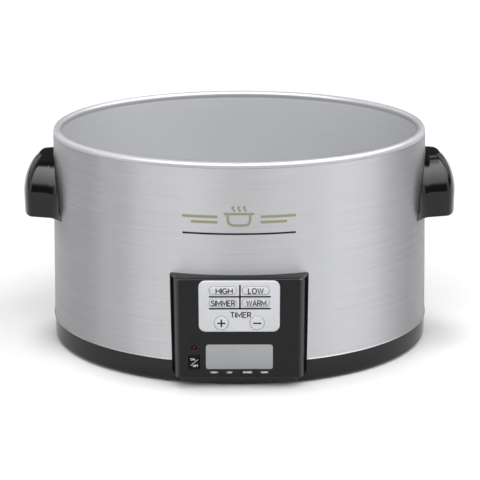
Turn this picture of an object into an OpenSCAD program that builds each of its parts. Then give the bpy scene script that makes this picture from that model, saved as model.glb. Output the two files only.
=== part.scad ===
// Oval electric slow cooker, heating base only: brushed steel shell, heated well, moulded base,
// two side handles and a push-key control panel with its electronics.
// Millimetres. +Z is up, +Y is the back, and Z = 0 is the plane that the feet stand on.

/* [Body] */
// Half length of the oval at the top rim
rim_a = 158; // [150:1:166]
// Half depth of the oval at the top rim
rim_b = 124; // [118:1:130]
// Height of the top rim above the table
body_h = 187; // [182:1:196]
// How much wider the steel shell is at its foot than at the rim, each side
flare = 4.7; // [3:0.1:6]
// Height of the seam between the black base and the steel shell
seam_z = 20; // [19:0.5:22]
// Thickness of the steel shell
steel_t = 0.8; // [0.6:0.1:1]
// Width of the rounded rim
rim_w = 6.2; // [5.8:0.1:7]

/* [Well] */
// Height of the well's floor
well_floor_z = 42; // [41:0.5:48]
// Thickness of the well's sheet
well_t = 0.9; // [0.7:0.1:1.1]
// How much narrower the well is at its floor than at the rim, each side
well_draft = 7.5; // [6:0.5:9]
// Radius between the well's wall and its floor
well_corner = 12; // [8:1:14]

/* [Handles] */
// How far a handle's tip stands from the middle of the cooker
handle_tip = 185; // [183:1:190]
// Half width of a handle
handle_half = 34; // [32:1:38]
// Underside of a handle
handle_z0 = 113.3; // [110:0.5:116]
// Top of a handle
handle_z1 = 163.5; // [161:0.5:168]
// Wall thickness of a handle
handle_t = 3; // [2.5:0.25:3.5]

/* [Control panel] */
// Half width of the panel
panel_half = 56; // [55:0.5:58]
// Bottom of the panel
panel_z0 = 10.1; // [9.8:0.1:11]
// Top of the panel
panel_z1 = 95.3; // [94:0.1:98]
// Distance of the panel's flat face from the middle of the cooker
panel_y = 135; // [134.5:0.5:137]
// Wall thickness of the panel
panel_t = 2.5; // [2:0.25:2.75]
// How far a key travels when it is pressed
key_travel = 0.6; // [0.4:0.1:0.6]
// How far a key stands out of its plate
key_proud = 0.6; // [0.6:0.1:0.8]
// Gap around a key
key_gap = 0.25; // [0.2:0.05:0.3]

/* [Cord entry] */
// Radius of the hole for the cord
cord_r = 3.4; // [3:0.1:4]

/* [Hidden] */
facets = 80;
fine = 32;
base_z = 2.2;                       // underside of the base: the feet lift it this far
plate_t = 2.4;                      // bottom plate
plate_z1 = base_z + plate_t;
foot_a = rim_a + flare;             // half length and half depth of the oval at its foot
foot_b = rim_b + flare;
foot_at = [100, 70];
screw_angles = [20, 65, 115, 160, 232, 308];
screw_inset = 10;
shield_z = 34;
ring_z = body_h - 3.5;              // where the rim's rounding starts
shell_top = body_h - 4.6;
well_top = body_h - 5.6;

well_in = -rim_w - 0.3;             // the well's inner face at its top, measured from the rim's oval
heater_z = [56, 112];
lead_at = [137.2, 38.3];            // where the leads meet the band's lower edge
blanket_z = [50, 118];
strap_z = [60, 72];
strap_rivet_x = [-5, 5];
heater_out = well_t + 0.15;         // layers around the well, measured from its inner face
heater_t = 1.6;
blanket_out = heater_out + heater_t + 0.2;
blanket_t = 3.8;
strap_out = blanket_out + blanket_t + 0.1;
under_well = well_floor_z - well_t;
fuse_at = [45, 25];
sensor_at = [-45, 25];
stud_r = 3;
boss_top = 12;
seat_z = 9.5;                       // roof of the pocket that takes the nut

nose_x = 160;                       // a handle's reach is counted from here
nose_power = 2.2;                   // fullness of the nose: 2 is an ellipse, more is squarer
nose_part = [0.42, 0.9];            // share of a handle's reach and width that its nose takes
flank_x = 161.5;                    // where a handle's straight flank ends and its foot starts
cap_rise = 1.8;                     // the roundings would meet this far above the flat top
handle_screw = [28, 127];           // [distance from the middle, height]
handle_flare = 1.35;                // how much wider a handle's foot is than its body
pocket_half = 22;                   // half width of the finger pocket
pocket_z1 = 156;                    // top of the finger pocket

// Depths are counted forwards, towards -Y, from the middle of the cooker.
recess = 0.7;                       // how deep the keypad plate lies in the panel's face
keypad_t = 1.2;
keypad_front = panel_y - recess + keypad_t;
keypad_z = 72;
keypad_size = [64.8, 43.6];
board_y = 124;                      // front of the control board
board_t = 1.6;
cover_y = 120.6;                    // front of the panel's back cover
side_draft = 3.5;                   // how far the panel's sides lean in from the shell to its face
draft_y = 118;                      // depth at which that lean starts
cut_half = 45.6;                    // half width of the shell's cut-out behind the panel
boss_at = [42.5, 44, 86.5];         // the control board's bosses: half spacing, low and high
lug_at = [49, 30, 80];              // the bosses that hold the panel to the shell
display_size = [54, 21.4];
display_z = 28.5;
led_at = [-36.4, 36.2];
power_at = [-36.4, 23.7];
power_size = [8.6, 11.8];
bar_size = [21.3, 6.1];
bar_x = 13.1;
bar_z = [85.4, 75.1];
round_r = 5.6;
round_at = [14.3, 57.9];
actuator_y = board_y + 4.4;         // tip of a tact switch
stem_y = actuator_y + key_travel + 0.15;
key_back = panel_y - recess - 0.1;  // a key's collar rests this far back, behind the plate
collar_t = 1;

power_board_at = [0, -54];
power_board_size = [96, 60];
power_board_z = 12;
power_board_spots = [for (x = [-1, 1]) for (y = [-1, 1])
    [power_board_at[0] + x * (power_board_size[0] / 2 - 5),
     power_board_at[1] + y * (power_board_size[1] / 2 - 5)]];
part_z = power_board_z + board_t + 0.05;
gland_z = 11.6;
gland_tip = 136.1;

// ---- Oval shapes -------------------------------------------------------------------------

// A point on the oval that lies `out` outside the rim's oval.
function oval_point(out, angle, z) = [(rim_a + out) * cos(angle), (rim_b + out) * sin(angle), z];

// How far the shell's outer face stands outside the rim's oval at a height.
function shell_out(z) = flare * (body_h - z) / (body_h - seam_z);

// The well's inner face, measured the same way.
function well_wall(z) =
    well_in - well_draft * (well_top - z) / (well_top - well_floor_z - well_corner);

// Height of the shell's front face above the X axis at a given X, as a distance from the middle.
function shell_front(x, z) =
    (rim_b + shell_out(z)) * sqrt(1 - pow(x / (rim_a + shell_out(z)), 2));

// Distance of the shell's side from the middle at a given Y.
function shell_side(y, z) =
    (rim_a + shell_out(z)) * sqrt(1 - pow(y / (rim_b + shell_out(z)), 2));

// A ring around the oval. The profile's points are [distance outside the rim's oval, height],
// listed clockwise as seen with the outside to the right.
module oval_ring(profile) {
    count = len(profile);
    points = [for (i = [0 : facets - 1]) for (p = profile) oval_point(p[0], 360 * i / facets, p[1])];
    faces = [for (i = [0 : facets - 1]) for (j = [0 : count - 1])
        let (k = (i + 1) % facets, m = (j + 1) % count)
        [i * count + j, i * count + m, k * count + m, k * count + j]];
    polyhedron(points, faces, convexity = 6);
}

// A solid of stacked ovals, closed at both ends. The profile runs from the bottom up.
module oval_stack(profile) {
    count = len(profile);
    points = [for (p = profile) for (i = [0 : facets - 1]) oval_point(p[0], 360 * i / facets, p[1])];
    sides = [for (j = [0 : count - 2]) for (i = [0 : facets - 1])
        let (k = (i + 1) % facets)
        [j * facets + i, (j + 1) * facets + i, (j + 1) * facets + k, j * facets + k]];
    bottom = [[for (i = [0 : facets - 1]) i]];
    top = [[for (i = [facets - 1 : -1 : 0]) (count - 1) * facets + i]];
    polyhedron(points, concat(sides, bottom, top), convexity = 6);
}

// A flat oval plate.
module oval_plate(out, z0, z1) {
    translate([0, 0, z0])
        linear_extrude(height = z1 - z0)
            polygon([for (i = [0 : facets - 1])
                [(rim_a + out) * cos(360 * i / facets), (rim_b + out) * sin(360 * i / facets)]]);
}

// Everything inside the shell's outer face, grown by a clearance.
module inside_shell(clearance) {
    oval_stack([[shell_out(0) + clearance, -1], [shell_out(body_h) + clearance, body_h + 1]]);
}

// The strap's inner face at its middle, behind the well.
function strap_back() = let (z = (strap_z[0] + strap_z[1]) / 2) [rim_b + well_wall(z) + strap_out, z];

// ---- Small helpers -----------------------------------------------------------------------

// A cylinder along Y between two depths in front of the middle.
module rod_y(x, z, r, front, back, fn = fine) {
    translate([x, -back, z])
        rotate([90, 0, 0])
            cylinder(r = r, h = front - back, $fn = fn);
}

// A box between two depths in front of the middle.
module box_y(x, z, size, front, back) {
    translate([x - size[0] / 2, -front, z - size[1] / 2])
        cube([size[0], front - back, size[1]]);
}

// A plate with rounded corners between two depths in front of the middle.
module round_box_y(x, z, size, r, front, back) {
    for (i = [-1, 1])
        for (j = [-1, 1])
            rod_y(x + i * (size[0] / 2 - r), z + j * (size[1] / 2 - r), r, front, back);
    box_y(x, z, [size[0], size[1] - 2 * r], front, back);
    box_y(x, z, [size[0] - 2 * r, size[1]], front, back);
}

// Cuts the corners of a path, which keeps its two ends.
function smoothed(path) = concat([path[0]],
    [for (i = [0 : len(path) - 2]) for (t = [0.25, 0.75]) path[i] * (1 - t) + path[i + 1] * t],
    [path[len(path) - 1]]);

// A wire: an eight-sided tube swept along a path.
module wire(path, r) {
    route = smoothed(smoothed(path));
    last = len(route) - 1;
    sides = 8;
    points = [for (i = [0 : last])
        let (d = route[min(i + 1, last)] - route[max(i - 1, 0)],
            u = cross(d, [1, 0.3, 0.2]) / norm(cross(d, [1, 0.3, 0.2])),
            v = cross(d, u) / norm(d))
        for (k = [0 : sides - 1])
            route[i] + r * (u * cos(360 * k / sides) + v * sin(360 * k / sides))];
    walls = [for (i = [0 : last - 1]) for (k = [0 : sides - 1])
        let (m = (k + 1) % sides)
        [i * sides + k, i * sides + m, (i + 1) * sides + m, (i + 1) * sides + k]];
    start = [[for (k = [sides - 1 : -1 : 0]) k]];
    end = [[for (k = [0 : sides - 1]) last * sides + k]];
    polyhedron(points, concat(walls, start, end), convexity = 6);
}

// A pan-head screw that points along +Z from the origin.
module screw(shank_r, length, head_r, head_h) {
    cylinder(r = shank_r, h = length, $fn = fine);
    translate([0, 0, -head_h])
        difference() {
            cylinder(r = head_r, h = head_h, $fn = fine);
            cylinder(r = head_r * 0.42, h = head_h * 0.6, center = true, $fn = 6);
        }
}

// ---- Shell, rim and well -----------------------------------------------------------------

module outer_shell() {
    foot = shell_out(seam_z);
    top = shell_out(shell_top);
    color("#b4b6ba")
        difference() {
            oval_ring([[top, shell_top], [foot, seam_z], [foot - steel_t, seam_z],
                [top - steel_t, shell_top]]);
            // Cut-out for the control panel's electronics.
            box_y(0, (panel_z1 - 4) / 2, [2 * cut_half, panel_z1 - 4], rim_b + 20, rim_b - 40);
            for (s = [-1, 1]) {
                for (z = [lug_at[1], lug_at[2]])
                    rod_y(s * lug_at[0], z, 1.7, rim_b + 20, rim_b - 30);
                for (y = [-1, 1])
                    translate([s * rim_a, y * handle_screw[0], handle_screw[1]])
                        rotate([0, 90, 0])
                            cylinder(r = 2.2, h = 40, center = true, $fn = fine);
            }
        }
}

module rim_ring() {
    rise = body_h - ring_z;
    arch = [for (t = [180 : -22.5 : 0]) [rim_w / 2 * (cos(t) - 1), ring_z + rise * sin(t)]];
    color("#dcdde2")
        oval_ring(concat(arch, [[0.1, shell_top + 0.2], [-1.1, shell_top + 0.2],
            [-1.1, shell_top - 4], [-2.4, shell_top - 4], [-2.4, well_top + 0.1],
            [-rim_w, well_top + 0.1]]));
}

module heating_well() {
    wall_foot = well_wall(well_floor_z + well_corner);
    corner_z = well_floor_z + well_corner;
    middle = wall_foot - well_corner;
    outer = [for (t = [90 : -22.5 : 0]) [middle + (well_corner + well_t) * cos(t),
        corner_z - (well_corner + well_t) * sin(t)]];
    inner = [for (t = [0 : 22.5 : 90]) [middle + well_corner * cos(t),
        corner_z - well_corner * sin(t)]];
    color("#a9abae")
        oval_stack(concat(outer, [[well_in + well_t, well_top - well_t],
            [-3, well_top - well_t], [-3, well_top], [well_in, well_top]], inner));
}

// ---- Heater ------------------------------------------------------------------------------

module band_heater() {
    color("#c9b98a")
        difference() {
            oval_ring([for (p = [[1, 1], [1, 0], [0, 0], [0, 1]])
                [well_wall(heater_z[p[1]]) + heater_out + heater_t * p[0], heater_z[p[1]]]]);
            // The ends of the band stand apart at the back.
            translate([-5, rim_b - 40, heater_z[0] - 1])
                cube([10, 60, 80]);
        }
}

module heater_insulation() {
    color("#e6e0cf")
        difference() {
            oval_ring([for (p = [[1, 1], [1, 0], [0, 0], [0, 1]])
                [well_wall(blanket_z[p[1]]) + blanket_out + blanket_t * p[0], blanket_z[p[1]]]]);
            // Notches that let the leads up to the band.
            for (x = [-1, 1])
                translate([x * lead_at[0] - 3, lead_at[1] - 3, blanket_z[0] - 1])
                    cube([6, 6, heater_z[0] - blanket_z[0] + 1.5]);
        }
}

module heater_strap() {
    color("#8f9296")
        difference() {
            oval_ring([for (p = [[1, 1], [1, 0], [0, 0], [0, 1]])
                [well_wall(strap_z[p[1]]) + strap_out + 0.6 * p[0], strap_z[p[1]]]]);
            for (x = strap_rivet_x)
                rivet_hole(x);
        }
}

module rivet_hole(x) {
    translate([x, strap_back()[0] - 5, strap_back()[1]])
        rotate([-90, 0, 0])
            cylinder(r = 1.3, h = 10, $fn = fine);
}

module strap_rivets() {
    color("#a6a8ab")
        for (x = strap_rivet_x)
            translate([x, strap_back()[0] + 0.2, strap_back()[1]])
                rotate([-90, 0, 0]) {
                    cylinder(r = 1.25, h = 0.9, $fn = fine);
                    translate([0, 0, 0.7])
                        cylinder(r1 = 2.4, r2 = 1.6, h = 0.9, $fn = fine);
                }
}

module heat_shield() {
    color("#b9bbbe")
        difference() {
            oval_plate(-17.5, shield_z, shield_z + 0.8);
            translate([0, 0, shield_z - 1])
                cylinder(r = 3.4, h = 3, $fn = fine);
        }
}

// ---- Centre fixing -----------------------------------------------------------------------

module centre_stud() {
    floor_under = well_floor_z - well_t;
    color("#9a9ca0") {
        translate([0, 0, base_z + 0.4])
            cylinder(r = stud_r, h = floor_under - base_z - 1, $fn = fine);
        translate([0, 0, floor_under - 1.2])
            cylinder(r = 12, h = 1.2, $fn = fine);
    }
}

module stud_spacer() {
    color("#a3a5a8")
        translate([0, 0, boss_top])
            difference() {
                cylinder(r = 6, h = shield_z - boss_top, $fn = fine);
                translate([0, 0, -1])
                    cylinder(r = 3.2, h = shield_z, $fn = fine);
            }
}

module stud_washer() {
    color("#a3a5a8")
        translate([0, 0, seat_z - 1.2])
            difference() {
                cylinder(r = 8.5, h = 1.2, $fn = fine);
                translate([0, 0, -1])
                    cylinder(r = 3.2, h = 4, $fn = fine);
            }
}

module stud_nut() {
    color("#8f9195")
        translate([0, 0, seat_z - 6.2])
            difference() {
                cylinder(r = 5.77, h = 5, $fn = 6);
                translate([0, 0, -1])
                    cylinder(r = stud_r + 0.05, h = 8, $fn = fine);
            }
}

// ---- Base --------------------------------------------------------------------------------

// Outline of the panel in plan: flat face, elliptical front corners, sides back to a depth.
function panel_outline(grow, back) =
    let (half = panel_half + grow, front = panel_y + grow, cx = 5, cy = 6,
        side = half - side_draft - cx)
    concat([[-half, -back], [-half, -draft_y]],
        [for (t = [180 : 15 : 270]) [-side + cx * cos(t), -front + cy + cy * sin(t)]],
        [for (t = [270 : 15 : 360]) [side + cx * cos(t), -front + cy + cy * sin(t)]],
        [[half, -draft_y], [half, -back]]);

function screw_spot(angle) =
    [(foot_a - screw_inset) * cos(angle), (foot_b - screw_inset) * sin(angle)];

module base_ring() {
    foot = flare;
    flange_z = plate_z1 + 0.1;
    color("#17181a")
        difference() {
            union() {
                difference() {
                    oval_plate(foot, base_z, seam_z + 7);
                    // The steel shell stands on this step.
                    difference() {
                        oval_plate(foot + 5, seam_z, seam_z + 20);
                        oval_plate(foot - 1, seam_z - 1, seam_z + 21);
                    }
                    oval_plate(foot - 3.2, 0, flange_z);
                    oval_plate(foot - 15, 0, seam_z + 20);
                    oval_plate(foot - 3.4, flange_z + 2.4, seam_z + 20);
                }
                // Ledge under the panel, which follows its outline.
                difference() {
                    translate([0, 0, base_z])
                        linear_extrude(height = panel_z0 - base_z - 0.2)
                            polygon(panel_outline(0.4, foot_b - 20));
                    oval_plate(foot - 2, 0, seam_z);
                }
                for (a = screw_angles)
                    translate([screw_spot(a)[0], screw_spot(a)[1], flange_z + 0.4])
                        cylinder(r = 3.6, h = 8.6, $fn = fine);
            }
            // Room for the panel's electronics.
            box_y(0, 30, [2 * (cut_half + 4), 36], foot_b + 20, foot_b - 30);
            for (a = screw_angles)
                translate([screw_spot(a)[0], screw_spot(a)[1], 0])
                    cylinder(r = 1.55, h = 12.8, $fn = fine);
            translate([0, foot_b - 20, gland_z])
                rotate([-90, 0, 0])
                    cylinder(r = 5.6, h = 40, $fn = fine);
            // Room for the gland's nut.
            translate([-8.2, foot_b - 20, plate_z1])
                cube([16.4, 16.2, 15]);
        }
}

module bottom_plate() {
    color("#1c1d1f")
        difference() {
            union() {
                oval_plate(flare - 3.6, base_z, plate_z1);
                translate([0, 0, base_z])
                    cylinder(r = 16, h = boss_top - base_z, $fn = fine);
                for (p = power_board_spots)
                    translate([p[0], p[1], base_z])
                        cylinder(r = 3.2, h = power_board_z - base_z, $fn = fine);
            }
            translate([0, 0, base_z - 1])
                cylinder(r = 11, h = seat_z - base_z + 1, $fn = fine);
            translate([0, 0, base_z - 1])
                cylinder(r = 3.3, h = 20, $fn = fine);
            for (a = screw_angles)
                translate([screw_spot(a)[0], screw_spot(a)[1], 0]) {
                    cylinder(r = 3.7, h = base_z + 1.5, $fn = fine);
                    cylinder(r = 1.7, h = 20, $fn = fine);
                }
            for (x = [-1, 1])
                for (y = [-1, 1])
                    translate([x * foot_at[0], y * foot_at[1], 0]) {
                        cylinder(r = 9.2, h = base_z + 1.2, $fn = fine);
                        cylinder(r = 2.6, h = 20, $fn = fine);
                    }
            for (p = power_board_spots)
                translate([p[0], p[1], plate_z1])
                    cylinder(r = 1.25, h = 20, $fn = fine);
            // Vent slots.
            for (i = [-4 : 4])
                translate([i * 9 - 1.5, 36, 0])
                    cube([3, 34, 20]);
        }
}

module rubber_feet() {
    color("#2b2c2e")
        for (x = [-1, 1])
            for (y = [-1, 1])
                translate([x * foot_at[0], y * foot_at[1], 0]) {
                    cylinder(r1 = 8.2, r2 = 9, h = base_z + 1.2, $fn = fine);
                    cylinder(r = 2.5, h = plate_z1 + 0.2, $fn = fine);
                    translate([0, 0, plate_z1 + 0.1])
                        cylinder(r1 = 3.4, r2 = 2, h = 2.6, $fn = fine);
                }
}

module base_screws() {
    color("#7d8084")
        for (a = screw_angles)
            translate([screw_spot(a)[0], screw_spot(a)[1], base_z + 1.5])
                screw(1.5, 8.5, 3.4, 1.4);
}

module rating_label() {
    color("#c8cacd")
        translate([-30, -112, base_z - 0.3])
            cube([60, 26, 0.3]);
}

module cord_gland() {
    wall = foot_b - 3.4;
    color("#1a1b1c")
        difference() {
            union() {
                translate([0, wall - 8, gland_z])
                    rotate([-90, 0, 0])
                        cylinder(r = 5.5, h = foot_b - wall + 8, $fn = fine);
                translate([0, foot_b, gland_z])
                    rotate([-90, 0, 0])
                        cylinder(r = 8.2, h = 2.4, $fn = fine);
                translate([0, foot_b + 2.4, gland_z])
                    rotate([-90, 0, 0])
                        cylinder(r1 = 7, r2 = 5, h = gland_tip - foot_b - 2.4, $fn = fine);
            }
            translate([0, wall - 20, gland_z])
                rotate([-90, 0, 0])
                    cylinder(r = cord_r, h = 60, $fn = fine);
        }
}

module gland_nut() {
    wall = foot_b - 3.4;
    color("#232425")
        translate([0, wall - 4.3, gland_z])
            rotate([-90, 0, 0])
                difference() {
                    cylinder(r = 7.6, h = 3.6, $fn = 6);
                    translate([0, 0, -1])
                        cylinder(r = 5.55, h = 6, $fn = fine);
                }
}

// ---- Handles -----------------------------------------------------------------------------

// How far a rounding has closed in at a height: 1 below `start`, 0 at the top.
function closing(z, start, top) =
    let (u = max(0, min(1, (z - start) / (top - start))))
    sqrt(1 - u * u);

// Eleven points that follow the shell's side between -y and +y, `gap` away from it.
function along_shell(y, z, gap) =
    let (end = asin(y / (rim_b + shell_out(z) + gap)))
    [for (i = [5 : -1 : -5]) oval_point(shell_out(z) + gap, end * i / 5, z)];

// The rounded end of a section, which bulges towards +X and stops short of a half turn.
function nose(x, reach, w, z) =
    [for (t = [-84 : 12 : 84])
        let (c = pow(abs(cos(t)), 2 / nose_power), s = pow(abs(sin(t)), 2 / nose_power))
        [x + reach * c, sign(t) * w * s, z]];

// Outline of the handle at a height: its back lies on the shell, its flanks run straight to a
// rounded nose, and its foot flares where it meets the shell.
function handle_section(z) =
    let (round = closing(z, 130, handle_z1 + cap_rise), w = handle_half * round,
        reach = 1 + (handle_tip - nose_x - 1) * round, foot = w * handle_flare,
        middle = (foot + w) / 2, side = shell_side(middle, z) + 2)
    concat([[side, -middle, z], [flank_x, -w, z]],
        nose(nose_x + (1 - nose_part[0]) * reach, nose_part[0] * reach, nose_part[1] * w, z),
        [[flank_x, w, z], [side, middle, z]], along_shell(foot, z, 0.25));

// Outline of the finger pocket, with the same number of points.
function pocket_section(z) =
    let (w = pocket_half * closing(z, 137, pocket_z1), x = nose_x + 4,
        reach = (handle_tip - handle_t - x) * closing(z, 124, pocket_z1))
    concat([[x - 0.8, -w, z], [x - 0.4, -w, z]], nose(x, reach, w, z),
        [[x - 0.4, w, z], [x - 0.8, w, z]], along_shell(w, z, handle_t));

// A handle for the +X side: one skin that runs down the outside and up into the finger pocket.
module handle() {
    outside = [handle_z1, handle_z1 - 1, 160, 157, 153, 149, 145, 141, 137, 133, 130, 124, handle_z0];
    inside = [handle_z0, 124, 130, 137, 142, 147, 152, pocket_z1 - 1];
    rings = concat([for (z = outside) handle_section(z)], [for (z = inside) pocket_section(z)]);
    count = len(rings[0]);
    last = len(rings) - 1;
    points = [for (ring = rings) for (p = ring) p];
    skin = [for (j = [0 : last - 1]) for (i = [0 : count - 1])
        let (k = (i + 1) % count)
        [j * count + i, j * count + k, (j + 1) * count + k, (j + 1) * count + i]];
    top = [[for (i = [count - 1 : -1 : 0]) i]];
    pocket_roof = [[for (i = [0 : count - 1]) last * count + i]];
    color("#0d0e0f")
        difference() {
            polyhedron(points, concat(skin, top, pocket_roof), convexity = 8);
            for (s = [-1, 1])
                translate([140, s * handle_screw[0], handle_screw[1]])
                    rotate([0, 90, 0])
                        cylinder(r = 1.55, h = 29, $fn = fine);
        }
}

module right_handle() {
    handle();
}

module left_handle() {
    mirror([1, 0, 0])
        handle();
}

module handle_plates() {
    color("#9fa1a4")
        for (side = [0, 180])
            difference() {
                handle_plate(side);
                for (y = [-1, 1])
                    translate([0, y * handle_screw[0], handle_screw[1]])
                        rotate([0, 90 - side, 0])
                            cylinder(r = 2.2, h = 200, $fn = fine);
            }
}

// A curved strip inside the shell, on the side that `middle` gives in degrees.
module handle_plate(middle) {
    reach = 4;
    profile = [for (p = [[1, 1], [1, 0], [0, 0], [0, 1]])
        let (z = handle_screw[1] - 8 + 16 * p[1])
        [shell_out(z) - steel_t - 0.1 - 1.2 * (1 - p[0]), z]];
    points = [for (i = [-reach : reach]) for (p = profile)
        oval_point(p[0], middle + 360 * i / facets, p[1])];
    sides = [for (i = [0 : 2 * reach - 1]) for (j = [0 : 3])
        let (m = (j + 1) % 4)
        [i * 4 + j, i * 4 + m, i * 4 + m + 4, i * 4 + j + 4]];
    end = [for (j = [0 : 3]) 8 * reach + j];
    polyhedron(points, concat(sides, [[3, 2, 1, 0], end]), convexity = 4);
}

module handle_screws() {
    // The head clears the curved plate by its own slant.
    head_x = shell_side(handle_screw[0], handle_screw[1]) - steel_t - 2.4;
    color("#8b8e92")
        for (x = [-1, 1])
            for (y = [-1, 1])
                translate([x * head_x, y * handle_screw[0], handle_screw[1]])
                    rotate([0, x * 90, 0])
                        screw(1.5, 168 - head_x, 3.4, 1.8);
}

// ---- Control panel -----------------------------------------------------------------------

module panel_bezel() {
    inner_front = panel_y - panel_t;
    color("#151617")
        difference() {
            union() {
                difference() {
                    translate([0, 0, panel_z0])
                        linear_extrude(height = panel_z1 - panel_z0)
                            polygon(panel_outline(0, foot_b - 25));
                    translate([0, 0, panel_z0 + panel_t])
                        linear_extrude(height = panel_z1 - panel_z0 - 2 * panel_t)
                            polygon(panel_outline(-panel_t, foot_b - 40));
                }
                for (s = [-1, 1]) {
                    for (z = [boss_at[1], boss_at[2]])
                        rod_y(s * boss_at[0], z, 3, inner_front + 0.5, board_y);
                    for (z = [lug_at[1], lug_at[2]])
                        rod_y(s * lug_at[0], z, 3.4, inner_front + 0.5, foot_b - 20);
                }
            }
            inside_shell(0.1);
            // Recess and window for the keypad.
            round_box_y(0, keypad_z, [keypad_size[0] + 0.2, keypad_size[1] + 0.2], 5.7,
                panel_y + 1, panel_y - recess);
            box_y(0, keypad_z - 1.2, [56, 39.4], panel_y + 1, panel_y - panel_t - 1);
            // Recess and window for the display.
            round_box_y(0, display_z, [display_size[0] + 0.2, display_size[1] + 0.2], 2.5,
                panel_y + 1, panel_y - 1.5);
            box_y(0, display_z, [display_size[0] - 4, display_size[1] - 4], panel_y + 1,
                panel_y - panel_t - 1);
            rod_y(led_at[0], led_at[1], 2.1, panel_y + 1, panel_y - panel_t - 1);
            box_y(power_at[0], power_at[1],
                [power_size[0] + 2 * key_gap, power_size[1] + 2 * key_gap], panel_y + 1,
                panel_y - panel_t - 1);
            for (s = [-1, 1]) {
                for (z = [boss_at[1], boss_at[2]])
                    rod_y(s * boss_at[0], z, 1.05, inner_front - 0.5, board_y - 2);
                for (z = [lug_at[1], lug_at[2]])
                    rod_y(s * lug_at[0], z, 1.35, inner_front - 0.5, foot_b - 30);
            }
        }
}

module keypad_plate() {
    color("#d3d5d9")
        difference() {
            round_box_y(0, keypad_z, keypad_size, 5.6, keypad_front, panel_y - recess);
            for (x = [-1, 1]) {
                for (z = bar_z)
                    bar_shape(x * bar_x, z, key_gap, keypad_front + 1, panel_y - recess - 1);
                rod_y(x * round_at[0], round_at[1], round_r + key_gap, keypad_front + 1,
                    panel_y - recess - 1);
            }
        }
}

// A bar key's face, with rounded ends.
module bar_shape(x, z, grow, front, back) {
    round_box_y(x, z, [bar_size[0] + 2 * grow, bar_size[1] + 2 * grow],
        bar_size[1] / 2 + grow - 0.4, front, back);
}

module key_stem(x, z) {
    rod_y(x, z, 1.3, key_back - collar_t + 0.1, stem_y);
}

module bar_key(x, z) {
    color("#d8dadd") {
        bar_shape(x, z, 0, keypad_front + key_proud, key_back - collar_t);
        box_y(x, z, [bar_size[0] + 1.6, bar_size[1] + 1.6], key_back, key_back - collar_t);
        key_stem(x, z);
    }
}

module round_key(x, z) {
    color("#d8dadd") {
        rod_y(x, z, round_r, keypad_front + key_proud, key_back - collar_t);
        rod_y(x, z, round_r + 0.8, key_back, key_back - collar_t);
        key_stem(x, z);
    }
}

module key_high() {
    bar_key(-bar_x, bar_z[0]);
}

module key_low() {
    bar_key(bar_x, bar_z[0]);
}

module key_simmer() {
    bar_key(-bar_x, bar_z[1]);
}

module key_warm() {
    bar_key(bar_x, bar_z[1]);
}

module key_timer_up() {
    round_key(-round_at[0], round_at[1]);
}

module key_timer_down() {
    round_key(round_at[0], round_at[1]);
}

module key_power() {
    collar = panel_y - panel_t - 0.1;
    color("#111213") {
        box_y(power_at[0], power_at[1], power_size, panel_y + 0.3, collar - collar_t);
        box_y(power_at[0], power_at[1], [power_size[0] + 2, power_size[1] + 2], collar,
            collar - collar_t);
        rod_y(power_at[0], power_at[1], 1.3, collar - collar_t + 0.1, stem_y);
    }
}

module display_window() {
    color("#b2b6b6")
        round_box_y(0, display_z, display_size, 2.4, panel_y, panel_y - 1.4);
}

module lcd_panel() {
    color("#8f9a8c")
        box_y(0, display_z, [58, 25], panel_y - panel_t - 0.1, panel_y - panel_t - 2.9);
}

module lcd_frame() {
    front = panel_y - panel_t - 3;
    color("#e2e3e0")
        difference() {
            box_y(0, display_z, [60.6, 27.6], front, board_y + 0.1);
            box_y(0, display_z, [56, 23], front + 1, board_y - 1);
        }
}

module power_led() {
    color("#7a1218") {
        rod_y(led_at[0], led_at[1], 1.9, panel_y - 1.2, board_y + 0.1);
        rod_y(led_at[0], led_at[1], 2.5, board_y + 1.3, board_y + 0.1);
        translate([led_at[0], -(panel_y - 1.2), led_at[1]])
            sphere(r = 1.9, $fn = fine);
    }
}

module control_board() {
    color("#2f6b3a")
        difference() {
            union() {
                box_y(0, 51.5, [90, 76], board_y, board_y - board_t);
                // Controller chip.
                box_y(27, 47, [14, 8], board_y + 1.4, board_y - 0.1);
            }
            for (s = [-1, 1])
                for (z = [boss_at[1], boss_at[2]])
                    rod_y(s * boss_at[0], z, 1.35, board_y + 1, board_y - 5);
        }
}

module tact_switch(x, z) {
    box_y(x, z, [6, 6], board_y + 3.5, board_y + 0.05);
    rod_y(x, z, 1.7, actuator_y, board_y + 3.4);
}

module tact_switches() {
    color("#3a3b3d") {
        for (s = [-1, 1]) {
            for (z = bar_z)
                tact_switch(s * bar_x, z);
            tact_switch(s * round_at[0], round_at[1]);
        }
        tact_switch(power_at[0], power_at[1]);
    }
}

module control_board_screws() {
    color("#85888c")
        for (s = [-1, 1])
            for (z = [boss_at[1], boss_at[2]])
                translate([s * boss_at[0], -(board_y - board_t), z])
                    rotate([90, 0, 0])
                        screw(1, 8, 2.2, 1.2);
}

module panel_back_cover() {
    color("#242526")
        difference() {
            box_y(0, 52, [2 * cut_half - 1, 76], cover_y, cover_y - 1.2);
            // Slot for the ribbon cable.
            box_y(20, 18, [15, 3], cover_y + 1, cover_y - 3);
        }
}

module panel_screws() {
    color("#85888c")
        for (s = [-1, 1])
            for (z = [lug_at[1], lug_at[2]])
                let (head = shell_front(lug_at[0], z) - steel_t - 0.9)
                translate([s * lug_at[0], -head, z])
                    rotate([90, 0, 0])
                        screw(1.3, 9, 2.8, 1.5);
}

// ---- Electronics in the base -------------------------------------------------------------

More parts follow.
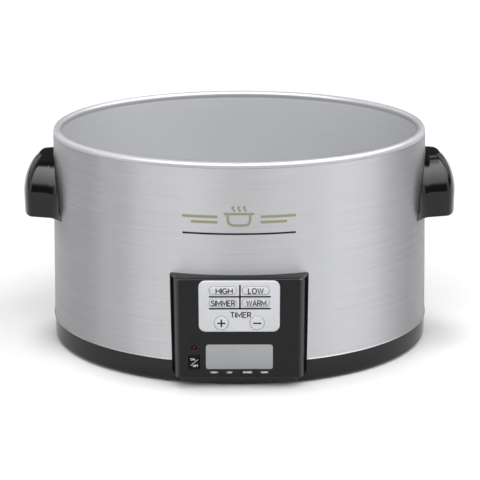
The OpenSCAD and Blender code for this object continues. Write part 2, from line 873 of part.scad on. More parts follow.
module ribbon_cable() {
    top = 18;
    low = power_board_z + board_t;
    edge = -(power_board_at[1] - power_board_size[1] / 2);
    path = [[-(board_y - board_t), top + 0.4], [-108, top + 0.4], [-edge + 6, low + 0.9],
        [-edge + 6, low], [-edge + 4.8, low], [-edge + 4.8, low + 0.1], [-108.4, top - 0.4],
        [-(board_y - board_t), top - 0.4]];
    color("#b8bbbf")
        translate([13.5, 0, 0])
            rotate([90, 0, 90])
                linear_extrude(height = 13)
                    polygon(path);
}

module power_board() {
    color("#8a6a35")
        difference() {
            translate([power_board_at[0] - power_board_size[0] / 2,
                power_board_at[1] - power_board_size[1] / 2, power_board_z])
                cube([power_board_size[0], power_board_size[1], board_t]);
            for (p = power_board_spots)
                translate([p[0], p[1], power_board_z - 1])
                    cylinder(r = 1.5, h = 5, $fn = fine);
        }
}

module power_board_screws() {
    color("#85888c")
        for (p = power_board_spots)
            translate([p[0], p[1], power_board_z + board_t])
                rotate([180, 0, 0])
                    screw(1.2, 7.5, 2.6, 1.4);
}

module transformer() {
    color("#4a4b4e") {
        translate([-28, -60, part_z])
            cube([28, 8, 17]);
        translate([-28, -74, part_z + 3])
            cube([28, 36, 11]);
    }
}

module relay() {
    color("#2458a0")
        translate([8, -62, part_z])
            cube([19, 15.5, 15]);
}

module capacitors() {
    color("#33363b") {
        translate([34, -68, part_z])
            cylinder(r = 5, h = 14, $fn = fine);
        translate([34, -54, part_z])
            cylinder(r = 4, h = 11, $fn = fine);
        translate([2, -43, part_z])
            cube([12, 6, 11]);
    }
}

module terminal_block() {
    color("#3c7a4a")
        difference() {
            translate([18, -40, part_z])
                cube([22, 9, 11]);
            for (x = [22, 29, 36])
                translate([x, -29, part_z + 4])
                    rotate([90, 0, 0])
                        cylinder(r = 1.5, h = 6, $fn = fine);
        }
}

module mains_wires() {
    end_z = part_z + 4;
    color("#5a3a26")
        for (s = [0, 1])
            wire([[-1.6 + 3.2 * s, foot_b - 13, gland_z], [-1.6 + 3.2 * s, 104, gland_z],
                [26 + 5 * s, 70, gland_z + 2], [22 + 7 * s, -8, end_z], [22 + 7 * s, -33, end_z]],
                1.1);
}

module heater_leads() {
    top = heater_z[0] - 0.3;
    color("#c9c4b4") {
        wire([[36, -33, part_z + 4], [36, -20, part_z + 5], [80, 10, 22],
            [lead_at[0] - 2, lead_at[1] - 4, 27], [lead_at[0], lead_at[1], 38],
            [lead_at[0], lead_at[1], top]], 1.1);
        wire([[12, -45, part_z + 15.2], [-6, -30, 31], [-80, 10, 29],
            [-lead_at[0] + 2, lead_at[1] - 4, 30], [-lead_at[0], lead_at[1], 38],
            [-lead_at[0], lead_at[1], top]], 1.1);
    }
}

// ---- Safety parts under the well ---------------------------------------------------------

module thermal_fuse() {
    color("#c4b06a")
        translate([fuse_at[0] - 7, fuse_at[1], under_well - 2.6])
            rotate([0, 90, 0]) {
                cylinder(r = 2.2, h = 14, $fn = fine);
                translate([0, 0, -6])
                    cylinder(r = 0.5, h = 26, $fn = 16);
            }
}

module fuse_clip() {
    color("#a9abae")
        translate([fuse_at[0] - 3, fuse_at[1], 0])
            difference() {
                union() {
                    translate([0, -9, under_well - 0.7])
                        cube([6, 18, 0.6]);
                    translate([0, -3.2, under_well - 5.6])
                        cube([6, 6.4, 5.5]);
                }
                translate([-1, 0, under_well - 2.6])
                    rotate([0, 90, 0])
                        cylinder(r = 2.3, h = 8, $fn = fine);
                translate([-1, -2.3, under_well - 2.6])
                    cube([8, 4.6, 4]);
            }
}

module temperature_sensor() {
    color("#d8d4c8")
        translate([sensor_at[0], sensor_at[1], under_well - 4])
            cylinder(r = 4, h = 3.9, $fn = fine);
}

module sensor_clip() {
    color("#a9abae")
        translate([sensor_at[0], sensor_at[1], under_well - 5])
            difference() {
                union() {
                    translate([-5.5, -5.5, 0])
                        cube([11, 11, 4.9]);
                    translate([-13, -4, 4.1])
                        cube([26, 8, 0.8]);
                }
                translate([0, 0, 0.9])
                    cylinder(r = 4.1, h = 10, $fn = fine);
            }
}

outer_shell();
rim_ring();
heating_well();
band_heater();
heater_insulation();
heater_strap();
strap_rivets();
heat_shield();
centre_stud();
stud_spacer();
stud_washer();
stud_nut();
base_ring();
bottom_plate();
rubber_feet();
base_screws();
rating_label();
cord_gland();
gland_nut();
left_handle();
right_handle();
handle_plates();
handle_screws();
panel_bezel();
keypad_plate();
key_high();
key_low();
key_simmer();
key_warm();
key_timer_up();
key_timer_down();
key_power();
display_window();
lcd_panel();
lcd_frame();
power_led();
control_board();
tact_switches();
control_board_screws();
panel_back_cover();
panel_screws();
ribbon_cable();
power_board();
power_board_screws();
transformer();
relay();
capacitors();
terminal_block();
mains_wires();
heater_leads();
thermal_fuse();
fuse_clip();
temperature_sensor();
sensor_clip();
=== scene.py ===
"""Looks of the slow cooker base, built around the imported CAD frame.

The scene is in metres with +Y to the back. Shapes are written in millimetres.
"""
from math import cos, sin, pi, radians, sqrt, asin, copysign

import bmesh
import bpy
from mathutils import Matrix, Vector


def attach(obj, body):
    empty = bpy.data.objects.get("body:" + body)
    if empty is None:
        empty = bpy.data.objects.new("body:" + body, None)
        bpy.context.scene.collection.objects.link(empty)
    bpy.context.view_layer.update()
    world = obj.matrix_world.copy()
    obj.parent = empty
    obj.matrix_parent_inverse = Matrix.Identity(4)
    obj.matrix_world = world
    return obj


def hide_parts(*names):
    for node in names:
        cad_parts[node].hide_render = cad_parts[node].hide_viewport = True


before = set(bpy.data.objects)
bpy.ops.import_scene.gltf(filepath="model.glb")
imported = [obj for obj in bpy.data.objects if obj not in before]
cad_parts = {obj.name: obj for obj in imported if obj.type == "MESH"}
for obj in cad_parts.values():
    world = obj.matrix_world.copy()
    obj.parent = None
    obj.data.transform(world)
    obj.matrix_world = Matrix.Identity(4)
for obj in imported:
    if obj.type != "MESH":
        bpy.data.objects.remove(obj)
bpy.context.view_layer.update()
scene = bpy.context.scene
MM = 0.001

# ---- Sizes of the CAD model, in millimetres ----------------------------------------------
RIM_A, RIM_B, BODY_H, FLARE = 158.0, 124.0, 187.0, 4.7
SEAM_Z, STEEL_T, RIM_W = 20.0, 0.8, 6.2
WELL_FLOOR, WELL_T, WELL_DRAFT, WELL_CORNER = 42.0, 0.9, 7.5, 12.0
BASE_Z, PLATE_Z1 = 2.2, 4.6
SHELL_TOP, WELL_TOP, RING_Z = BODY_H - 4.6, BODY_H - 5.6, BODY_H - 3.5
WELL_IN = -RIM_W - 0.3
HANDLE_TIP, HANDLE_HALF, HANDLE_Z0, HANDLE_Z1, HANDLE_T = 185.0, 34.0, 113.3, 163.5, 3.0
NOSE_X, POCKET_HALF, POCKET_Z1, HANDLE_FLARE = 160.0, 22.0, 156.0, 1.35
NOSE_POWER, NOSE_PART, FLANK_X, CAP_RISE = 2.2, (0.42, 0.9), 160.5, 1.8
PANEL_HALF, PANEL_Z0, PANEL_Z1, PANEL_Y, PANEL_T = 56.0, 10.1, 95.3, 135.0, 2.5
SIDE_DRAFT, DRAFT_Y = 3.5, 118.0
RECESS, KEYPAD_T, KEY_PROUD, KEY_GAP = 0.7, 1.2, 0.6, 0.25
KEYPAD_FRONT = PANEL_Y - RECESS + KEYPAD_T
KEYPAD_Z, KEYPAD_SIZE = 72.0, (64.8, 43.6)
DISPLAY_SIZE, DISPLAY_Z = (54.0, 21.4), 28.5
LED_AT, POWER_AT, POWER_SIZE = (-36.4, 36.2), (-36.4, 23.7), (8.6, 11.8)
BAR_SIZE, BAR_X, BAR_Z = (21.3, 6.1), 13.1, (85.4, 75.1)
ROUND_R, ROUND_AT = 5.6, (14.3, 57.9)
KEY_BACK, COLLAR_T, STEM_Y, BOARD_Y = PANEL_Y - RECESS - 0.1, 1.0, 129.15, 124.0
CUT_HALF, GLAND_Z, GLAND_TIP, CORD_R = 45.6, 11.6, 136.1, 3.4
FOOT_AT = (100.0, 70.0)

# ---- Sizes of the visual model only, in millimetres --------------------------------------
CUT_TOP = PANEL_Z1 - 4
LEDGE_INSET, LEDGE_Z0 = 4.6, BASE_Z + 2.4
# Heights where the handle's flank, the pocket's flank and the pocket's tip start to round.
HANDLE_ROUND_Z, POCKET_ROUND_Z, POCKET_TIP_Z = 130, 137, 124
FLANK_STOPS = (0.12, 0.35, 0.65, 0.88)
GLAND_RIB, GLAND_IN = 0.35, 11.4
INK_TOP, INK_SINK = 0.02, 0.05
# Height and stroke weight of the legends, and the weights of the printed lines.
KEY_LEGEND, POWER_LEGEND, DISPLAY_LEGEND = (5.2, 0.85), (1.9, 0.36), (1.7, 0.34)
POT_WEIGHT, STEAM_WEIGHT, DASH_WEIGHT, RULE_WEIGHT, SIGN_WEIGHT = 2.1, 1.5, 2.2, 1.5, 1.2
# Steps around the oval, a round part, the gland, a small corner, a plate's corner, and along
# the handle's nose, its flare and the shell beside it.
SEGMENTS, CIRCLE, GLAND_STEPS, CORNER, PLATE_CORNER = 240, 48, 72, 5, 8
NOSE_STEPS, FLARE_STEPS, SIDE_STEPS = 28, 8, 12
# How far to either side the handle's nose turns, in degrees.
NOSE_SPAN = 84


def spaced(start, end, steps):
    """Evenly spaced values from start to end, both included."""
    return [start + (end - start) * i / steps for i in range(steps + 1)]


def around(count):
    """Evenly spaced angles around a circle."""
    return [2 * pi * i / count for i in range(count)]


def shell_out(z):
    """How far the shell's face stands outside the rim's oval at a height."""
    return FLARE * (BODY_H - z) / (BODY_H - SEAM_Z)


def shell_front(x, z):
    """Distance of the shell's front face from the middle, at a given X and height."""
    return (RIM_B + shell_out(z)) * sqrt(1 - (x / (RIM_A + shell_out(z))) ** 2)


def shell_side(y, z):
    """Distance of the shell's side from the middle, at a given Y and height."""
    return (RIM_A + shell_out(z)) * sqrt(1 - (y / (RIM_B + shell_out(z))) ** 2)


def well_wall(z):
    """The well's inner face at a height, measured from the rim's oval."""
    return WELL_IN - WELL_DRAFT * (WELL_TOP - z) / (WELL_TOP - WELL_FLOOR - WELL_CORNER)


# ---- Node materials ----------------------------------------------------------------------
def new_material(name):
    """A material that starts with a Principled shader alone, its tree and that shader."""
    mat = bpy.data.materials.new(name)
    mat.use_nodes = True
    tree = mat.node_tree
    return mat, tree, tree.nodes["Principled BSDF"]


def set_sockets(node, **values):
    """Sets unlinked sockets, named with an underscore for each space."""
    for key, value in values.items():
        node.inputs[key.replace("_", " ")].default_value = value


def add(tree, kind, **values):
    """A node with its attributes and unlinked sockets set."""
    node = tree.nodes.new(kind)
    for key, value in values.items():
        if hasattr(node, key):
            setattr(node, key, value)
        else:
            set_sockets(node, **{key: value})
    return node


def calc(tree, kind, *values):
    """The result of a maths node on numbers and other nodes' outputs."""
    node = add(tree, "ShaderNodeMath", operation=kind)
    for value, socket in zip(values, node.inputs):
        if isinstance(value, (int, float)):
            socket.default_value = value
        else:
            tree.links.new(value, socket)
    return node.outputs[0]


def axes(tree, kind, output):
    """X, Y and Z of what a new node of some kind gives."""
    split = add(tree, "ShaderNodeSeparateXYZ")
    tree.links.new(add(tree, kind).outputs[output], split.inputs[0])
    return split.outputs


def noise(tree, scale, stretch=(1, 1, 1), detail=3.0, offset=(0, 0, 0)):
    """Noise in object space, stretched along chosen axes. Scale is in cycles per metre."""
    where = add(tree, "ShaderNodeTexCoord")
    fit = add(tree, "ShaderNodeMapping", Scale=stretch, Location=offset)
    tex = add(tree, "ShaderNodeTexNoise", Scale=scale, Detail=detail, Roughness=0.55)
    tree.links.new(where.outputs["Object"], fit.inputs["Vector"])
    tree.links.new(fit.outputs["Vector"], tex.inputs["Vector"])
    return tex.outputs["Fac"]


def spread(tree, source, low, high, start=0.3, end=0.7):
    """Maps a source that runs from start to end to values from low to high."""
    node = add(tree, "ShaderNodeMapRange", From_Min=start, From_Max=end, To_Min=low, To_Max=high)
    tree.links.new(source, node.inputs["Value"])
    return node.outputs["Result"]


def tinted(tree, source, dark, light, start=0.3, end=0.7):
    """A colour that goes from dark to light with a pattern."""
    ramp = add(tree, "ShaderNodeValToRGB")
    for stop, place, colour in zip(ramp.color_ramp.elements, (start, end), (dark, light)):
        stop.position, stop.color = place, (*colour, 1)
    tree.links.new(source, ramp.inputs["Fac"])
    return ramp.outputs["Color"]


def relief(tree, shader, source, depth):
    """Bump of a given depth in metres."""
    bump = add(tree, "ShaderNodeBump", Strength=1.0, Distance=depth)
    tree.links.new(source, bump.inputs["Height"])
    tree.links.new(bump.outputs["Normal"], shader.inputs["Normal"])


def shades(colour, amount):
    """A darker and a lighter version of a colour."""
    return [tuple(max(0.0, min(1.0, c * (1 + s * amount))) for c in colour) for s in (-1, 1)]


def surface(name, colour, rough, metal=0.0, scale=300.0, stretch=(1, 1, 1), tint=0.08,
            rough_by=0.05, depth=0.00001, fine=1800.0, **sockets):
    """A moulded, cast or sprayed finish: slow colour change, fine grain and uneven gloss."""
    mat, tree, shader = new_material(name)
    slow = noise(tree, scale, stretch)
    grain = noise(tree, fine, stretch, detail=2.0, offset=(3.1, 1.7, 0.4))
    tree.links.new(tinted(tree, slow, *shades(colour, tint)), shader.inputs["Base Color"])
    tree.links.new(spread(tree, slow, rough - rough_by, rough + rough_by),
                   shader.inputs["Roughness"])
    relief(tree, shader, grain, depth)
    set_sockets(shader, Metallic=metal, **sockets)
    return mat


# Depth of the brushed and the turned lines in metres, the part of the brushed pattern that is
# used, and how far both patterns change the roughness.
BRUSHED_DEPTH, TURNED_DEPTH, BRUSHED_SPAN = 0.000012, 0.000006, (0.36, 0.64)
BRUSHED_ROUGH_BY, TURNED_ROUGH_BY = 0.05, 0.04
# The oval's mean radius in metres, which scales the turned lines.
MEAN_R = 0.14
# How far a normal points up where the painted shade on turned metal goes from upright to flat.
UPRIGHT_SHADE_SPAN = (0.15, 0.6)
# How far a normal's X part reaches where the panel's painted corner highlight grows, and where
# painted shade on its sides fades the reflections out.
HIGHLIGHT_SPAN, SIDE_SHADE_SPAN = (0.05, 0.75), (0.72, 0.96)


def brushed(name, colour, rough, stretch, tint, **sockets):
    """Metal brushed along the axes that `stretch` leaves small."""
    mat, tree, shader = new_material(name)
    fine = noise(tree, 1.0, [s * 2.2 for s in stretch], detail=2.0)
    coarse = noise(tree, 1.0, [s * 0.45 for s in stretch], offset=(7.3, 2.2, 5.1))
    pattern = calc(tree, "MULTIPLY_ADD", fine, 0.5, calc(tree, "MULTIPLY", coarse, 0.5))
    tree.links.new(tinted(tree, pattern, *shades(colour, tint), *BRUSHED_SPAN),
                   shader.inputs["Base Color"])
    tree.links.new(spread(tree, pattern, rough + BRUSHED_ROUGH_BY, rough - BRUSHED_ROUGH_BY,
                          *BRUSHED_SPAN), shader.inputs["Roughness"])
    relief(tree, shader, pattern, BRUSHED_DEPTH)
    set_sockets(shader, Metallic=1.0, **sockets)
    return mat


def turned(name, colour, rough, metal, lines=900.0, tint=0.05, side=1.0):
    """Metal with fine lines that run around the oval, and painted shade that darkens it by `side`
    where it stands upright.
    """
    mat, tree, shader = new_material(name)
    where = axes(tree, "ShaderNodeTexCoord", "Object")
    squares = [calc(tree, "POWER", calc(tree, "DIVIDE", where[axis], size * MM), 2.0)
               for axis, size in (("X", RIM_A), ("Y", RIM_B))]
    ratio = calc(tree, "SQRT", calc(tree, "ADD", *squares))
    place = add(tree, "ShaderNodeCombineXYZ")
    tree.links.new(calc(tree, "MULTIPLY", ratio, MEAN_R), place.inputs["X"])
    tree.links.new(where["Z"], place.inputs["Y"])
    tex = add(tree, "ShaderNodeTexNoise", Scale=lines, Detail=3.0, Roughness=0.6)
    tree.links.new(place.outputs[0], tex.inputs["Vector"])
    up = axes(tree, "ShaderNodeNewGeometry", "Normal")["Z"]
    shaded_colour = add(tree, "ShaderNodeVectorMath", operation="SCALE")
    tree.links.new(tinted(tree, tex.outputs["Fac"], *shades(colour, tint)), shaded_colour.inputs[0])
    # Painted shade: the colour is darkened by `side` on upright faces.
    tree.links.new(spread(tree, up, side, 1.0, *UPRIGHT_SHADE_SPAN), shaded_colour.inputs["Scale"])
    tree.links.new(shaded_colour.outputs[0], shader.inputs["Base Color"])
    slow = noise(tree, 14.0, detail=2.0)
    tree.links.new(spread(tree, slow, rough - TURNED_ROUGH_BY, rough + TURNED_ROUGH_BY),
                   shader.inputs["Roughness"])
    relief(tree, shader, tex.outputs["Fac"], TURNED_DEPTH)
    set_sockets(shader, Metallic=metal)
    return mat


def paint_highlight_and_shade(mat, level, edge):
    """Paints a highlight on corners that turn towards X by raising the specular level, and paints
    shade on the sides by fading it to nothing.
    """
    tree = mat.node_tree
    lean = calc(tree, "ABSOLUTE", axes(tree, "ShaderNodeNewGeometry", "Normal")["X"])
    # Painted highlight on the corners: the specular level grows from level to edge.
    grow = spread(tree, lean, level, edge, *HIGHLIGHT_SPAN)
    # Painted shade on the sides: the reflections fade out.
    fade = spread(tree, lean, 1.0, 0.0, *SIDE_SHADE_SPAN)
    tree.links.new(calc(tree, "MULTIPLY", grow, fade),
                   tree.nodes["Principled BSDF"].inputs["Specular IOR Level"])


BLACK = (0.0028, 0.0028, 0.0029)
# The panel's own specular level, and the level of the painted highlight on its corners.
FACE_GLOSS, CORNER_HIGHLIGHT = 0.2, 0.75
steel = brushed("shell_steel", (0.36, 0.362, 0.371), 0.44, (24, 24, 2900), tint=0.05,
                Anisotropic=0.95, Anisotropic_Rotation=0.25)
steel_edge = brushed("steel_edge", (0.42, 0.42, 0.44), 0.3, (9, 9, 900), tint=0.06)
# side=0.85 paints shade on the rim's upright faces.
rim_metal = turned("rim_aluminium", (0.37, 0.37, 0.388), 0.36, metal=0.5, side=0.85)
well_metal = turned("well_aluminium", (0.315, 0.32, 0.33), 0.5, lines=500.0, tint=0.02,
                    metal=0.3)
black_gloss = surface("black_moulding", BLACK, 0.09, scale=40, tint=0.15, rough_by=0.02,
                      depth=0.000002, fine=700, Specular_IOR_Level=0.30)
panel_black = surface("panel_black", (0.0035, 0.0037, 0.0040), 0.30, scale=60, tint=0.12,
                      rough_by=0.03, depth=0.000004, fine=2600,
                      Specular_IOR_Level=FACE_GLOSS)
# Painted highlight on the panel's corners and painted shade on its sides.
paint_highlight_and_shade(panel_black, FACE_GLOSS, CORNER_HIGHLIGHT)
matt_black = surface("matt_black", (0.016, 0.016, 0.017), 0.55, scale=120, depth=0.00004)
rubber = surface("foot_rubber", (0.030, 0.030, 0.031), 0.78, scale=200, tint=0.15, depth=0.00005)
keypad_silver = surface("keypad_silver", (0.335, 0.34, 0.355), 0.42, metal=0.15, scale=260,
                        tint=0.03, depth=0.000006, fine=3000, Coat_Weight=0.2)
key_silver = surface("key_silver", (0.345, 0.35, 0.365), 0.40, metal=0.15, scale=260,
                     tint=0.03, depth=0.000005, fine=3000, Coat_Weight=0.2)
key_black = surface("key_black", (0.002, 0.002, 0.0024), 0.25, scale=200, depth=0.000004,
                    Specular_IOR_Level=0.1)
lens_grey = surface("display_lens", (0.163, 0.166, 0.172), 0.33, scale=30, tint=0.03,
                    rough_by=0.02, depth=0.000002, Coat_Weight=0.3)
lcd_grey = surface("lcd_glass", (0.30, 0.33, 0.29), 0.2, scale=60, tint=0.03)
led_red = surface("led_red", (0.022, 0.0005, 0.002), 0.4, scale=500, tint=0.2,
                  Specular_IOR_Level=0.12)
ink_black = surface("ink_black", (0.006, 0.006, 0.007), 0.6, scale=900, tint=0.2,
                    Specular_IOR_Level=0.08)
ink_white = surface("ink_white", (0.42, 0.42, 0.42), 0.5, scale=900, tint=0.05)
ink_khaki = surface("ink_khaki", (0.17, 0.16, 0.108), 0.42, metal=0.3, scale=700, tint=0.10)
plated = brushed("plated_steel", (0.56, 0.57, 0.60), 0.36, (260, 260, 500), tint=0.08)
mica = surface("mica_band", (0.46, 0.37, 0.20), 0.5, scale=500, tint=0.35, depth=0.00003)
fibre = surface("glass_fibre", (0.76, 0.72, 0.62), 0.95, scale=700, stretch=(1, 1, 0.2),
                tint=0.2, depth=0.0004, fine=1200, Sheen_Weight=0.4)
white_plastic = surface("white_plastic", (0.76, 0.76, 0.74), 0.45)
board_green = surface("board_green", (0.03, 0.16, 0.05), 0.35, scale=800, stretch=(1, 1, 1),
                      tint=0.3, depth=0.00002)
board_brown = surface("board_brown", (0.28, 0.17, 0.07), 0.5, scale=600, tint=0.25)
part_dark = surface("part_dark", (0.035, 0.035, 0.04), 0.45, scale=400, tint=0.2)
relay_blue = surface("relay_blue", (0.02, 0.09, 0.34), 0.3, scale=300)
terminal_green = surface("terminal_green", (0.03, 0.19, 0.06), 0.45, scale=300)
cable_grey = surface("cable_grey", (0.42, 0.43, 0.45), 0.5, scale=900, stretch=(3, 0.2, 1),
                     tint=0.25)
mains_brown = surface("mains_brown", (0.13, 0.06, 0.03), 0.5, scale=500)
sleeve = surface("silicone_sleeve", (0.55, 0.52, 0.42), 0.7, scale=2200, tint=0.25,
                 depth=0.0001)
brass = surface("fuse_brass", (0.68, 0.52, 0.24), 0.3, metal=1.0, scale=500, tint=0.12)
ceramic = surface("sensor_ceramic", (0.72, 0.69, 0.62), 0.55, scale=600, tint=0.06)
foil = brushed("blank_label", (0.66, 0.67, 0.69), 0.38, (20, 900, 900), tint=0.04)

# ---- Mesh building -----------------------------------------------------------------------


def piece(name, verts, faces, mat, body, slot, replaces=(), angle=35.0):
    """A mesh object in millimetres that rides on a body and stands for CAD nodes."""
    mesh = bpy.data.meshes.new(name)
    mesh.from_pydata([Vector(v) * MM for v in verts], [], faces)
    bm = bmesh.new()
    bm.from_mesh(mesh)
    bmesh.ops.remove_doubles(bm, verts=bm.verts, dist=1e-7)
    bmesh.ops.recalc_face_normals(bm, faces=bm.faces)
    bm.to_mesh(mesh)
    bm.free()
    obj = bpy.data.objects.new(name, mesh)
    scene.collection.objects.link(obj)
    mesh.materials.append(mat)
    smooth(obj, angle)
    if body:
        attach(obj, body)
    if replaces:
        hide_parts(*replaces)
    return obj


def smooth(obj, angle):
    """Smooth shading with sharp edges beyond an angle."""
    mesh = obj.data
    mesh.polygons.foreach_set("use_smooth", [True] * len(mesh.polygons))
    mesh.set_sharp_from_angle(angle=radians(angle))


def oval(out, turn, z):
    """A point on the oval `out` outside the rim's oval. A turn of 0 is +X."""
    return ((RIM_A + out) * cos(turn), (RIM_B + out) * sin(turn), z)


def oval_ring(out, z):
    """The whole of such an oval at a height."""
    return [oval(out, t, z) for t in around(SEGMENTS)]


def loft(rings, closed_ends=True, wrap=False):
    """Vertices and faces through rings with the same number of points."""
    count = len(rings[0])
    verts = [p for ring in rings for p in ring]
    faces = []
    for j in range(len(rings) if wrap else len(rings) - 1):
        k = (j + 1) % len(rings)
        for i in range(count):
            m = (i + 1) % count
            faces.append((j * count + i, j * count + m, k * count + m, k * count + i))
    if closed_ends and not wrap:
        faces.append(tuple(range(count)))
        faces.append(tuple((len(rings) - 1) * count + i for i in reversed(range(count))))
    return verts, faces


def oval_sweep(profile, start=0.0, end=2 * pi):
    """A closed profile of (out, z) swept around the oval, with end caps if it stops short."""
    whole = end - start > 2 * pi - 1e-6
    turns = spaced(start, end, SEGMENTS)
    if whole:
        turns.pop()
    rings = [[oval(out, t, z) for out, z in profile] for t in turns]
    return loft(rings, closed_ends=not whole, wrap=whole)


def rounded(points, radii):
    """A closed outline with its corners rounded off."""
    out = []
    n = len(points)
    for i, (p, r) in enumerate(zip(points, radii)):
        p = Vector(p)
        if r <= 0:
            out.append(tuple(p))
            continue
        a = (Vector(points[i - 1]) - p).normalized()
        b = (Vector(points[(i + 1) % n]) - p).normalized()
        half = a.angle(b) / 2
        reach = min(r / max(1e-6, sin(half)) * cos(half),
                    (Vector(points[i - 1]) - p).length * 0.5,
                    (Vector(points[(i + 1) % n]) - p).length * 0.5)
        start, end = p + a * reach, p + b * reach
        for t in spaced(0, 1, CORNER):
            out.append(tuple(start * (1 - t) ** 2 + p * 2 * t * (1 - t) + end * t * t))
    return out


def round_rect(w, h, r, steps):
    """A rectangle with rounded corners, as (x, z) points."""
    points = []
    for cx, cz, first in ((1, 1, 0), (-1, 1, 90), (-1, -1, 180), (1, -1, 270)):
        for a in map(radians, spaced(first, first + 90, steps)):
            points.append((cx * (w / 2 - r) + r * cos(a), cz * (h / 2 - r) + r * sin(a)))
    return points


def plaque(x, z, w, h, r, layers, steps=PLATE_CORNER):
    """A rounded plate facing the front. Layers are (inset, distance in front of the middle)."""
    rings = []
    for inset, depth in layers:
        shape = round_rect(w - 2 * inset, h - 2 * inset, max(0.02, r - inset), steps)
        rings.append([(x + px, -depth, z + pz) for px, pz in shape])
    return loft(rings)


def printed(x, z, w, h, face):
    """A thin printed bar on a flat face at a distance in front of the middle."""
    return plaque(x, z, w, h, 0.1, [(0, face - INK_SINK), (0, face + INK_TOP)], steps=1)


def disc(x, z, layers, steps=CIRCLE):
    """A round plate facing the front. Layers are (radius, distance in front of the middle)."""
    return loft([[(x + r * cos(a), -d, z + r * sin(a)) for a in around(steps)]
                 for r, d in layers])


def turned_z(x, y, layers):
    """A round part about a vertical axis. Layers are (radius, height)."""
    return loft([[(x + r * cos(a), y + r * sin(a), z) for a in around(CIRCLE)]
                 for r, z in layers])


def join(*parts):
    """Puts several (vertices, faces) together."""
    verts, faces = [], []
    for v, f in parts:
        base = len(verts)
        verts += v
        faces += [tuple(i + base for i in face) for face in f]
    return verts, faces


def cut(obj, *shapes):
    """Cuts closed shapes out of a piece, one after another."""
    for verts, faces in shapes:
        tool = piece("cutter", verts, faces, ink_black, None, None)
        mod = obj.modifiers.new("cut", "BOOLEAN")
        mod.operation, mod.solver, mod.object = "DIFFERENCE", "EXACT", tool
        graph = bpy.context.evaluated_depsgraph_get()
        result = bpy.data.meshes.new_from_object(obj.evaluated_get(graph))
        obj.modifiers.clear()
        old = obj.data
        obj.data = result
        bpy.data.meshes.remove(old)
        bpy.data.objects.remove(tool, do_unlink=True)


# ---- Shell, rim and well -----------------------------------------------------------------
def make_shell():
    """Brushed sheet with the cut-out behind the control panel."""
    cut_angle = asin(CUT_HALF / (RIM_A + FLARE))
    front = 3 * pi / 2
    turns = sorted(around(SEGMENTS) + [front - cut_angle, front + cut_angle])
    heights = [SEAM_Z + 0.1, 50, CUT_TOP, 120, 150, SHELL_TOP]
    verts, faces = [], []
    for skin in (0.0, STEEL_T):
        verts += [oval(shell_out(z) - skin, t, z) for t in turns for z in heights]
    n, m = len(turns), len(heights)
    held = set()
    for i in range(n):
        k = (i + 1) % n
        middle = (turns[i] + turns[i] + (turns[k] - turns[i]) % (2 * pi)) / 2
        for j in range(m - 1):
            if abs(middle - front) < cut_angle and heights[j + 1] <= CUT_TOP:
                continue
            held.add((i, j))
            quad = (i * m + j, k * m + j, k * m + j + 1, i * m + j + 1)
            faces.append(quad)
            faces.append(tuple(n * m + q for q in reversed(quad)))
    for i, j in held:
        k = (i + 1) % n
        rims = {(i, j - 1): (i * m + j, k * m + j), (i, j + 1): (k * m + j + 1, i * m + j + 1),
                ((i - 1) % n, j): (i * m + j + 1, i * m + j), (k, j): (k * m + j, k * m + j + 1)}
        for beside, (a, b) in rims.items():
            if beside not in held:
                faces.append((b, a, a + n * m, b + n * m))
    piece("shell", verts, faces, steel, "housing", "brushed_shell", ["outer_shell"])
    # The sheet's rolled lower edge, which stops at the panel.
    gap = asin((PANEL_HALF + 0.3) / (RIM_A + FLARE))
    edge = [(shell_out(SEAM_Z) + 0.12 + 0.42 * cos(a), SEAM_Z + 0.62 + 0.5 * sin(a))
            for a in around(10)]
    piece("shell_rolled_edge", *oval_sweep(edge, front + gap, front + 2 * pi - gap),
          steel_edge, "housing", "brushed_shell", angle=60)


def make_rim():
    """Rounded bead on top, with the lip that holds the shell and the well."""
    rise = BODY_H - RING_Z
    arch = [(RIM_W / 2 * (cos(a) - 1), RING_Z + rise * sin(a))
            for a in spaced(pi, 0, 20)]
    profile = arch + [(0.1, SHELL_TOP + 0.2), (-1.1, SHELL_TOP + 0.2), (-1.1, SHELL_TOP - 4),
                      (-2.4, SHELL_TOP - 4), (-2.4, WELL_TOP + 0.1), (-RIM_W, WELL_TOP + 0.1)]
    piece("rim_bead", *oval_sweep(profile), rim_metal, "housing", "rim_metal", ["rim_ring"],
          angle=40)


def make_well():
    """Drawn well with a rounded foot and a shallow step round its floor."""
    foot = WELL_FLOOR + WELL_CORNER
    middle = well_wall(foot) - WELL_CORNER
    outer_r = WELL_CORNER + WELL_T
    quarter = spaced(0, pi / 2, 12)
    outer = [(middle + outer_r * sin(a), foot - outer_r * cos(a)) for a in quarter]
    inner = [(middle + WELL_CORNER * cos(a), foot - WELL_CORNER * sin(a)) for a in quarter]
    flange = [(WELL_IN + WELL_T, WELL_TOP - WELL_T), (-3, WELL_TOP - WELL_T), (-3, WELL_TOP),
              (-RIM_W - 0.02, WELL_TOP), (WELL_IN - 0.3, WELL_TOP - 5)]
    floor = [(middle - 8, WELL_FLOOR), (middle - 9, WELL_FLOOR - 0.35),
             (middle - 24, WELL_FLOOR - 0.35), (middle - 25, WELL_FLOOR)]
    under = [(middle - 25, WELL_FLOOR - WELL_T), (middle - 24, WELL_FLOOR - WELL_T - 0.2)]
    profile = under + outer + flange + inner + floor
    piece("well", *loft([oval_ring(out, z) for out, z in profile]), well_metal, "housing",
          "well_metal", ["heating_well"], angle=30)


# ---- Base --------------------------------------------------------------------------------
def panel_outline(grow, back):
    """The panel in plan: flat face, elliptical front corners, sides that lean out to the shell."""
    half, face, cx, cy = PANEL_HALF + grow, PANEL_Y + grow, 5.0, 6.0
    side = half - SIDE_DRAFT - cx
    left = [(-half, -back), (-half, -DRAFT_Y)]
    left += [(-side + cx * cos(a), -face + cy + cy * sin(a))
             for a in map(radians, spaced(180, 270, 12))]
    return left + [(-x, y) for x, y in reversed(left)]


def panel_loft(layers, back):
    """The panel's outline through layers of (how far it grows, height), back to a distance."""
    return loft([[(x, y, z) for x, y in panel_outline(grow, back)] for grow, z in layers])


